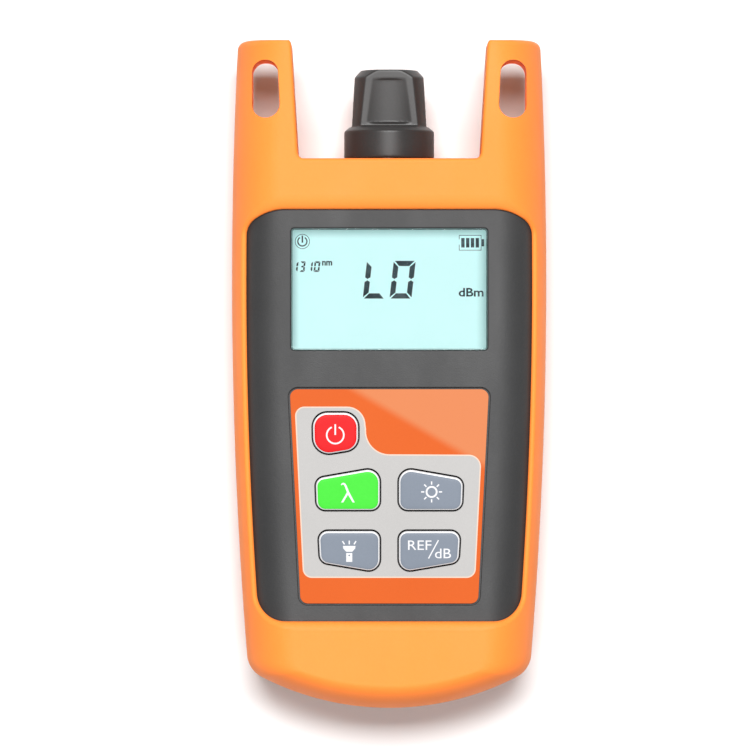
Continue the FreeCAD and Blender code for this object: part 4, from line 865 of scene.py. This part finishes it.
def ring_loops(cx, cy, outer, inner, gap=0.0, count=48):
    """Loops of a ring, or of an open ring with a gap at its top, in degrees either side."""
    start = math.pi / 2 + math.radians(gap) if gap else 0.0
    turn = 2 * math.pi - 2 * math.radians(gap)
    turns = [start + turn * i / count for i in range(count + (1 if gap else 0))]
    there, back = ([(cx + r * math.cos(a), cy + r * math.sin(a)) for a in turns] for r in (outer, inner))
    return [there + back[::-1]] if gap else [there, back]


def bar(x0, y0, x1, y1):
    """Loop of an upright box."""
    return [(x0, y0), (x1, y0), (x1, y1), (x0, y1)]


def stroke(start, stop, width):
    """Loop of a straight stroke."""
    start, stop = Vector(start), Vector(stop)
    along = (stop - start).normalized()
    side = Vector((-along.y, along.x)) * (width / 2)
    return [tuple(p) for p in (start + side, stop + side, stop - side, start - side)]


def digit(x, y, w, h, t, parts):
    """Segments of a leaning display digit, each a mitred bar."""
    g, lean = t * 0.11, 0.115
    shapes = {
        "a": [(g + t * 0.1, h), (w - g - t * 0.1, h), (w - t - g, h - t), (t + g, h - t)],
        "d": [(t + g, t), (w - t - g, t), (w - g - t * 0.1, 0), (g + t * 0.1, 0)],
        "f": [(0, h - g * 2), (0, h / 2 + t * 0.45), (t / 2, h / 2 + g), (t, h / 2 + t * 0.45),
              (t, h - t - g * 1.5)],
        "e": [(0, g * 2), (t, t + g * 1.5), (t, h / 2 - t * 0.45), (t / 2, h / 2 - g),
              (0, h / 2 - t * 0.45)],
        "g": [(t * 0.7, h / 2), (t * 1.2, h / 2 + t / 2), (w - t * 1.2, h / 2 + t / 2),
              (w - t * 0.7, h / 2), (w - t * 1.2, h / 2 - t / 2), (t * 1.2, h / 2 - t / 2)],
    }
    shapes["b"] = [(w - px, py) for px, py in reversed(shapes["f"])]
    shapes["c"] = [(w - px, py) for px, py in reversed(shapes["e"])]
    return [[(x + px + py * lean, y + py) for px, py in shapes[part]] for part in parts]


def row_of_copies(name, count, step, turn, size, start, z, material):
    """Repeats a small block by Geometry Nodes: in a row when turn is 0, or round a circle.

    step is the row's pitch or the circle's radius.
    """
    tree = bpy.data.node_groups.new(name + "_repeat", "GeometryNodeTree")
    sockets = {}
    for label, kind in (("Geometry", "NodeSocketGeometry"), ("Count", "NodeSocketInt"),
                        ("Step", "NodeSocketFloat"), ("Width", "NodeSocketFloat"),
                        ("Height", "NodeSocketFloat"), ("Thickness", "NodeSocketFloat"),
                        ("Finish", "NodeSocketMaterial")):
        sockets[label] = tree.interface.new_socket(name=label, in_out="INPUT", socket_type=kind)
    tree.interface.new_socket(name="Geometry", in_out="OUTPUT", socket_type="NodeSocketGeometry")
    given = tree.nodes.new("NodeGroupInput").outputs
    block_size = add_node(tree, "ShaderNodeCombineXYZ", values={
        0: given["Width"], 1: given["Height"], 2: given["Thickness"]})
    block = add_node(tree, "GeometryNodeMeshCube", values={"Size": block_size.outputs[0]})
    if turn:
        places = add_node(tree, "GeometryNodeMeshCircle", values={
            "Vertices": given["Count"], "Radius": given["Step"]})
        index = tree.nodes.new("GeometryNodeInputIndex").outputs[0]
        angle = sum_node(tree, "MULTIPLY", sum_node(tree, "DIVIDE", index, given["Count"]), 2 * math.pi)
        spin = add_node(tree, "ShaderNodeCombineXYZ", values={2: angle})
        turned = {"Rotation": spin.outputs[0]}
    else:
        offset = add_node(tree, "ShaderNodeCombineXYZ", values={0: given["Step"]})
        places = add_node(tree, "GeometryNodeMeshLine", values={
            "Offset": offset.outputs[0], "Count": given["Count"]})
        turned = {}
    copies = add_node(tree, "GeometryNodeInstanceOnPoints", values={
        "Points": places.outputs[0], "Instance": block.outputs["Mesh"], **turned})
    real = add_node(tree, "GeometryNodeRealizeInstances", values={0: copies.outputs[0]})
    paint = add_node(tree, "GeometryNodeSetMaterial", values={
        "Geometry": real.outputs[0], "Material": given["Finish"]})
    tree.links.new(paint.outputs[0], tree.nodes.new("NodeGroupOutput").inputs[0])
    holder = piece(name, [], [])
    step_modifier = holder.modifiers.new("repeat", "NODES")
    step_modifier.node_group = tree
    values = {"Count": count, "Step": step, "Width": size[0], "Height": size[1],
              "Thickness": size[2], "Finish": material}
    for label, value in values.items():
        step_modifier[sockets[label].identifier] = value
    settle(holder)
    holder.data.transform(Matrix.Translation((start[0], start[1], z)))
    return holder


def joined(name, pieces):
    """One piece from several of the same finish."""
    work = bmesh.new()
    for part in pieces:
        work.from_mesh(part.data)
    mesh = bpy.data.meshes.new(name)
    work.to_mesh(mesh)
    work.free()
    mesh.materials.append(pieces[0].data.materials[0])
    for part in pieces:
        bpy.data.objects.remove(part)
    return placed(name, mesh)


def make_readout():
    """What the display shows: reading, wavelength, unit, power sign and charge."""
    z, thick = LCD_FACE + 0.035, 0.03
    loops = []
    for x, parts in ((-5.03, "fed"), (0.04, "abcdef")):
        loops += digit(x, 14.48, 4.16, 7.15, 0.99, parts)
    for x, width, parts in ((-18.35, 0.95, "bc"), (-17.05, 0.98, "abcdg"),
                            (-15.58, 0.95, "bc"), (-14.36, 1.10, "abcdef")):
        loops += digit(x, 19.54, width, 1.98, 0.32, parts)
    parts = [flat_shape("reading", loops, z, thick, LCD_INK)]
    loops = ring_loops(-16.46, 25.3, 1.41, 1.30) + ring_loops(-16.46, 25.3, 0.98, 0.74, 32)
    loops += [bar(-16.60, 25.06, -16.32, 26.41)]
    parts.append(flat_shape("power_sign", loops, z, thick, LCD_INK))
    frame_bars = [bar(13.20, 26.40, 17.45, 26.51), bar(13.20, 23.59, 17.45, 23.70),
                  bar(13.20, 25.70, 13.31, 26.40), bar(13.20, 23.70, 13.31, 24.70),
                  bar(17.34, 25.75, 17.45, 26.40), bar(17.34, 23.70, 17.45, 24.35),
                  bar(17.43, 24.37, 17.97, 25.73)]
    parts.append(flat_shape("charge_frame", frame_bars, z, thick, LCD_INK))
    parts.append(row_of_copies("charge_bars", 4, 0.91, 0, (0.65, 1.8, thick), (13.95, 25.05), z,
                               LCD_INK))
    for text, box, heavy in (("nm", (-12.72, -10.81, 20.74, 21.61), 0.035),
                             ("dBm", (13.16, 17.86, 14.87, 16.49), 0.022)):
        parts.append(lettering(text + "_letters", text, *box, z, thick, LCD_INK, heavy))
    readout = joined("lcd_readout", parts)
    set_down(readout, "meter", "lcd")


# ---------------------------------------------------------------- key panel

def field_outline(grow):
    """The grey field under the keys, stepped round the upper right, grown by grow.

    The hollow corner of the step has its radius below 0.
    """
    run = []
    for x, y, radius, start, stop, steps in (
            (-14.62, -36.59, 1.5, 182.7, 270, 10), (14.60, -36.59, 1.5, 270, 357.3, 10),
            (15.03, -17.34, 2.05, -2.7, 90, 10), (0.04, -10.54, -4.68, 268, 175, 16),
            (-7.97, -9.44, 3.23, 0, 90, 12), (-16.05, -7.71, 1.5, 90, 182.7, 10)):
        run += arc_points(x, y, abs(radius + grow), start, stop, steps)
    return run


def inside(point, loop):
    """Whether a place in the plan lies inside a closed loop."""
    x, y = point
    hit = False
    for i, (x1, y1) in enumerate(loop):
        x0, y0 = loop[i - 1]
        if (y0 > y) != (y1 > y) and x < (x1 - x0) * (y - y0) / (y1 - y0) + x0:
            hit = not hit
    return hit


def make_overlay():
    """Printed panel: orange round a grey field with a pale line, and five key openings."""
    holes = [rounded(key_hole(name)) for name in KEY_NAMES]
    loops = [rounded(PANEL), field_outline(0.24), field_outline(0.0)] + holes
    points, faces = [], []
    for loop in loops:
        faces.append(list(range(len(points), len(points) + len(loop))))
        points += [Vector(p) for p in loop]
    flat, _, tris = delaunay_2d_cdt(points, [], faces, 1, 0.00001)[:3]
    panel = piece("key_panel", at_height(flat, PANEL_FACE), tris,
                  [ORANGE_PRINT_AND_PAINTED_REFLECTION, OVERLAY_LINE, OVERLAY_GREY])
    work = bmesh.new()
    work.from_mesh(panel.data)
    gone = []
    for face in work.faces:
        middle = face.calc_center_median()
        place = (middle.x, middle.y)
        if any(inside(place, hole) for hole in holes):
            gone.append(face)
        elif inside(place, loops[2]):
            face.material_index = 2
        elif inside(place, loops[1]):
            face.material_index = 1
        if face.normal.z < 0:
            face.normal_flip()
    bmesh.ops.delete(work, geom=gone, context="FACES")
    work.to_mesh(panel.data)
    work.free()
    body = panel.modifiers.new("sheet", "SOLIDIFY")
    body.thickness = PANEL_FACE - PANEL_BACK
    body.offset = -1
    settle(panel)
    set_down(panel, "meter", "overlay", "keypad_overlay")


def make_key(name):
    """Key with a moulded rim round a coloured, faintly crowned top; the rim's pale colour is a painted
    highlight.
    """
    flange_z, rim_z, rim_rise = 22.9, 25.7, 0.36
    corners = key_hole(name)
    flange = rounded([(x, y, 0.3) for x, y, _ in corners], 0.6)
    rings = [at_height(flange, z) for z in (21.9, flange_z)]
    rings.append(at_height(rounded(corners, -0.3), flange_z))
    for share, rise in quarter(6):
        rings.append(at_height(rounded(corners, -0.3 - 0.2 * share), rim_z + rim_rise * rise))
    # crown of the top: inset from the opening, shift down the panel, height
    for inset, drop, z in ((0.60, 0.09, 26.07), (0.64, 0.10, 26.11), (0.76, 0.09, 26.145),
                           (1.2, 0.03, 26.17), (1.8, 0.0, 26.18), (2.4, 0.0, 26.185)):
        rings.append([(x, y - drop, z) for x, y in rounded(corners, -inset)])
    top_finish = KEY_FINISHES.get(name, KEY_SLATE)
    key = loft("key_cap_" + name, rings, [KEY_RIM_PAINTED_HIGHLIGHT, top_finish, KEY_SIDE_PAINTED_SHADE])
    for face in key.data.polygons:
        heights = [key.data.vertices[i].co.z for i in face.vertices]
        if min(heights) > rim_z + rim_rise + 0.005:
            face.material_index = 1
        # faces below the rim take the painted shade of the gap round the key
        elif max(heights) < rim_z + 0.05:
            face.material_index = 2
    smooth(key, 40, False)
    set_down(key, "key_" + name, KEY_SLOTS.get(name, "key_slate"), "key_" + name)


def icon_piece(key, parts):
    """The printed sign of a key, riding with it."""
    name = "icon_" + key
    icon = joined(name, parts) if len(parts) > 1 else parts[0]
    icon.name = name
    set_down(icon, "key_" + key, KEY_SLOTS.get(key, "key_slate"))


def make_icons():
    """Signs on the keys: power, wavelength, backlight, torch and reference."""
    z, thick = 26.18, 0.035

    def shape(*loops):
        return flat_shape("icon", loops, z, thick, PRINT_WHITE)

    icon_piece("power", [shape(*ring_loops(-10.2, -11.33, 1.76, 1.46, 24),
                               bar(-10.35, -11.3, -10.05, -9.3))])
    icon_piece("wavelength", [shape([
        (-9.14, -20.78), (-9.02, -20.47), (-8.68, -20.31), (-8.30, -20.47), (-8.06, -20.87),
        (-7.58, -22.05), (-6.52, -24.05), (-6.92, -24.05), (-7.80, -22.57), (-8.70, -24.05),
        (-9.11, -24.05), (-8.00, -22.13), (-8.44, -20.95), (-8.58, -20.71), (-8.76, -20.65),
        (-8.96, -20.79)])])
    sun = (7.98, -22.06)
    icon_piece("backlight", [
        shape(*ring_loops(*sun, 1.12, 0.79)),
        row_of_copies("sun_rays", 8, 1.68, 1, (0.60, 0.25, thick), sun, z, PRINT_WHITE)])
    head = [(-8.75, -32.25), (-6.37, -32.25), (-6.45, -32.75), (-7.0, -33.35), (-8.12, -33.35),
            (-8.67, -32.75)]
    button = ring_loops(-7.56, -34.05, 0.17, 0.1)[0]
    torch = [shape(head), shape(bar(-8.13, -35.25, -6.99, -33.6), button)]
    for start, stop in (((-8.85, -31.35), (-8.45, -31.95)), ((-7.56, -31.25), (-7.56, -31.95)),
                        ((-6.27, -31.35), (-6.67, -31.95))):
        torch.append(shape(stroke(start, stop, 0.24)))
    icon_piece("torch", torch)
    words = [lettering(text.lower() + "_letters", text, *box, z, thick, PRINT_WHITE)
             for text, box in (("REF", (3.53, 7.95, -33.0, -31.22)), ("dB", (8.62, 11.65, -34.57, -32.76)))]
    icon_piece("reference", words + [shape(stroke((9.28, -31.15), (7.40, -34.62), 0.22))])


# ---------------------------------------------------------------- dust cap

def make_cap():
    """Pull-off cap with three scooped flats and edges softened as by the mould."""
    y0 = NOTCH_Y + 0.3
    collar, base, top = y0 + 5.4, y0 + 6.1, y0 + 16.9
    collar_r, bore_r = 8.6, 6.85
    seat_y, pocket_y, pocket_r = 45.6, 52.6, 3.2
    profile = [(y0 + 0.3, bore_r), (y0, 7.15), (y0, 8.35), (y0 + 0.25, collar_r),
               (collar - 0.25, collar_r), (collar, 8.4), (base, 7.5), (top - 1.4, 6.77), (top, 5.4),
               (top, 0), (pocket_y, 0), (pocket_y, pocket_r), (seat_y, pocket_r), (seat_y, bore_r)]
    cap = lathe("cap_body", profile, count=160, materials=[CAP_PLASTIC])
    flat_z = SPLIT + 5.05
    half_chord, depth = 4.3, 0.6
    scoop_r = (half_chord ** 2 + depth ** 2) / (2 * depth)
    low, high = base + 0.6, base + 9.0
    tools = []
    for i in range(3):
        turn = Matrix.Translation((0, 0, SPLIT)) @ Matrix.Rotation(math.radians(-120 * i), 4, "Y")
        turn = turn @ Matrix.Translation((0, 0, -SPLIT))
        flat = loft("flat", [at_height(bar(-9, base, 9, top + 1), z) for z in (flat_z, SPLIT + 12)])
        scoop = lathe("scoop", [(low, 0), (low, scoop_r), (high, scoop_r - depth + 0.33), (high, 0)],
                      z=flat_z - depth + scoop_r, count=256)
        for tool in (flat, scoop):
            tool.data.transform(turn)
            tools.append(tool)
    combine(cap, tools)
    soften = cap.modifiers.new("skin", "REMESH")
    soften.mode = "VOXEL"
    soften.voxel_size = 0.16
    ease_off = cap.modifiers.new("ease", "SMOOTH")
    ease_off.factor = 0.5
    ease_off.iterations = 4
    settle(cap)
    cap.data.materials.clear()
    cap.data.materials.append(CAP_PLASTIC)
    smooth(cap, 60, False)
    set_down(cap, "cap", "cap", "dust_cap")


# ---------------------------------------------------------------- finishes of the other nodes

def dress_nodes():
    """Gives each node that keeps its own shape its finish."""
    finishes = {
        "rear_case": CASE_BACK_PLASTIC, "battery_door": DOOR_PLASTIC, "lcd_panel": LCD_GLOW_WITH_PAINTED_SHADE,
        "lcd_backlight": LIGHT_GUIDE, "zebra_strip": SILICONE, "tact_switches": SWITCH_BLACK,
        "main_board": BOARD_GREEN, "processor_chip": CHIP_BLACK, "amplifier_chip": CHIP_BLACK,
        "timing_crystal": STEEL, "smoothing_capacitor": CAPACITOR_BLUE,
        "positive_contacts": SPRING_STEEL, "contact_springs": SPRING_STEEL, "port_barrel": NICKEL,
        "universal_adapter": NICKEL, "ferrule_sleeve": CERAMIC, "photodetector": GOLD_CAN,
        "detector_holder": HOLDER_PLASTIC, "torch_lens": TORCH_CLEAR, "torch_led": LED_EPOXY,
        "case_screws": STEEL, "board_screws": STEEL,
    }
    for name in KEY_NAMES:
        finishes["plunger_" + name] = PLUNGER_WHITE
    for index in (1, 2, 3):
        finishes["battery_%d" % index] = CELL_JACKET
    for name, material in finishes.items():
        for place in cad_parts[name].material_slots:
            place.material = material


# ---------------------------------------------------------------- camera, light and floor

def set_camera():
    """Long lens straight above the meter."""
    data = bpy.data.cameras.new("camera")
    data.sensor_width = 36.0
    data.lens = 254.6
    data.clip_end = 10.0
    camera = placed("camera", data)
    camera.location = (-0.0027, 0.0, 1.027)
    bpy.context.scene.camera = camera


def soft_box(name, y, watts):
    """Wide soft box above the meter, turned to face it."""
    data = bpy.data.lights.new(name, "AREA")
    data.shape = "RECTANGLE"
    data.size, data.size_y = 0.9, 0.5
    data.energy = watts
    lamp = placed(name, data)
    lamp.location = (0.0, y, 1.65)
    lamp.rotation_euler = (-lamp.location).to_track_quat("-Z", "Y").to_euler()


def set_studio():
    """White floor, two soft boxes and a faint white sky."""
    floor = piece("studio_floor", [(-3, -3, 0), (3, -3, 0), (3, 3, 0), (-3, 3, 0)], [(0, 1, 2, 3)],
                  [finish("studio_paper", (0.74, 0.74, 0.74), (0.73, 0.73, 0.73), 0.7, 0.8,
                          (400.0, 0.2, 0.00001), 2.0)])
    soft_box("key_box", 0.55, 46.5)
    soft_box("low_box", -0.55, 11.0)
    world = bpy.data.worlds.new("studio")
    world.use_nodes = True
    sky = world.node_tree.nodes["Background"]
    sky.inputs["Color"].default_value = (1, 1, 1, 1)
    sky.inputs["Strength"].default_value = 0.10
    bpy.context.scene.world = world
    bpy.context.scene.view_settings.view_transform = "Standard"


set_camera()
set_studio()
dress_nodes()
make_boot()
make_case()
make_lens()
make_readout()
make_overlay()
for key_name in KEY_NAMES:
    make_key(key_name)
make_icons()
make_cap()
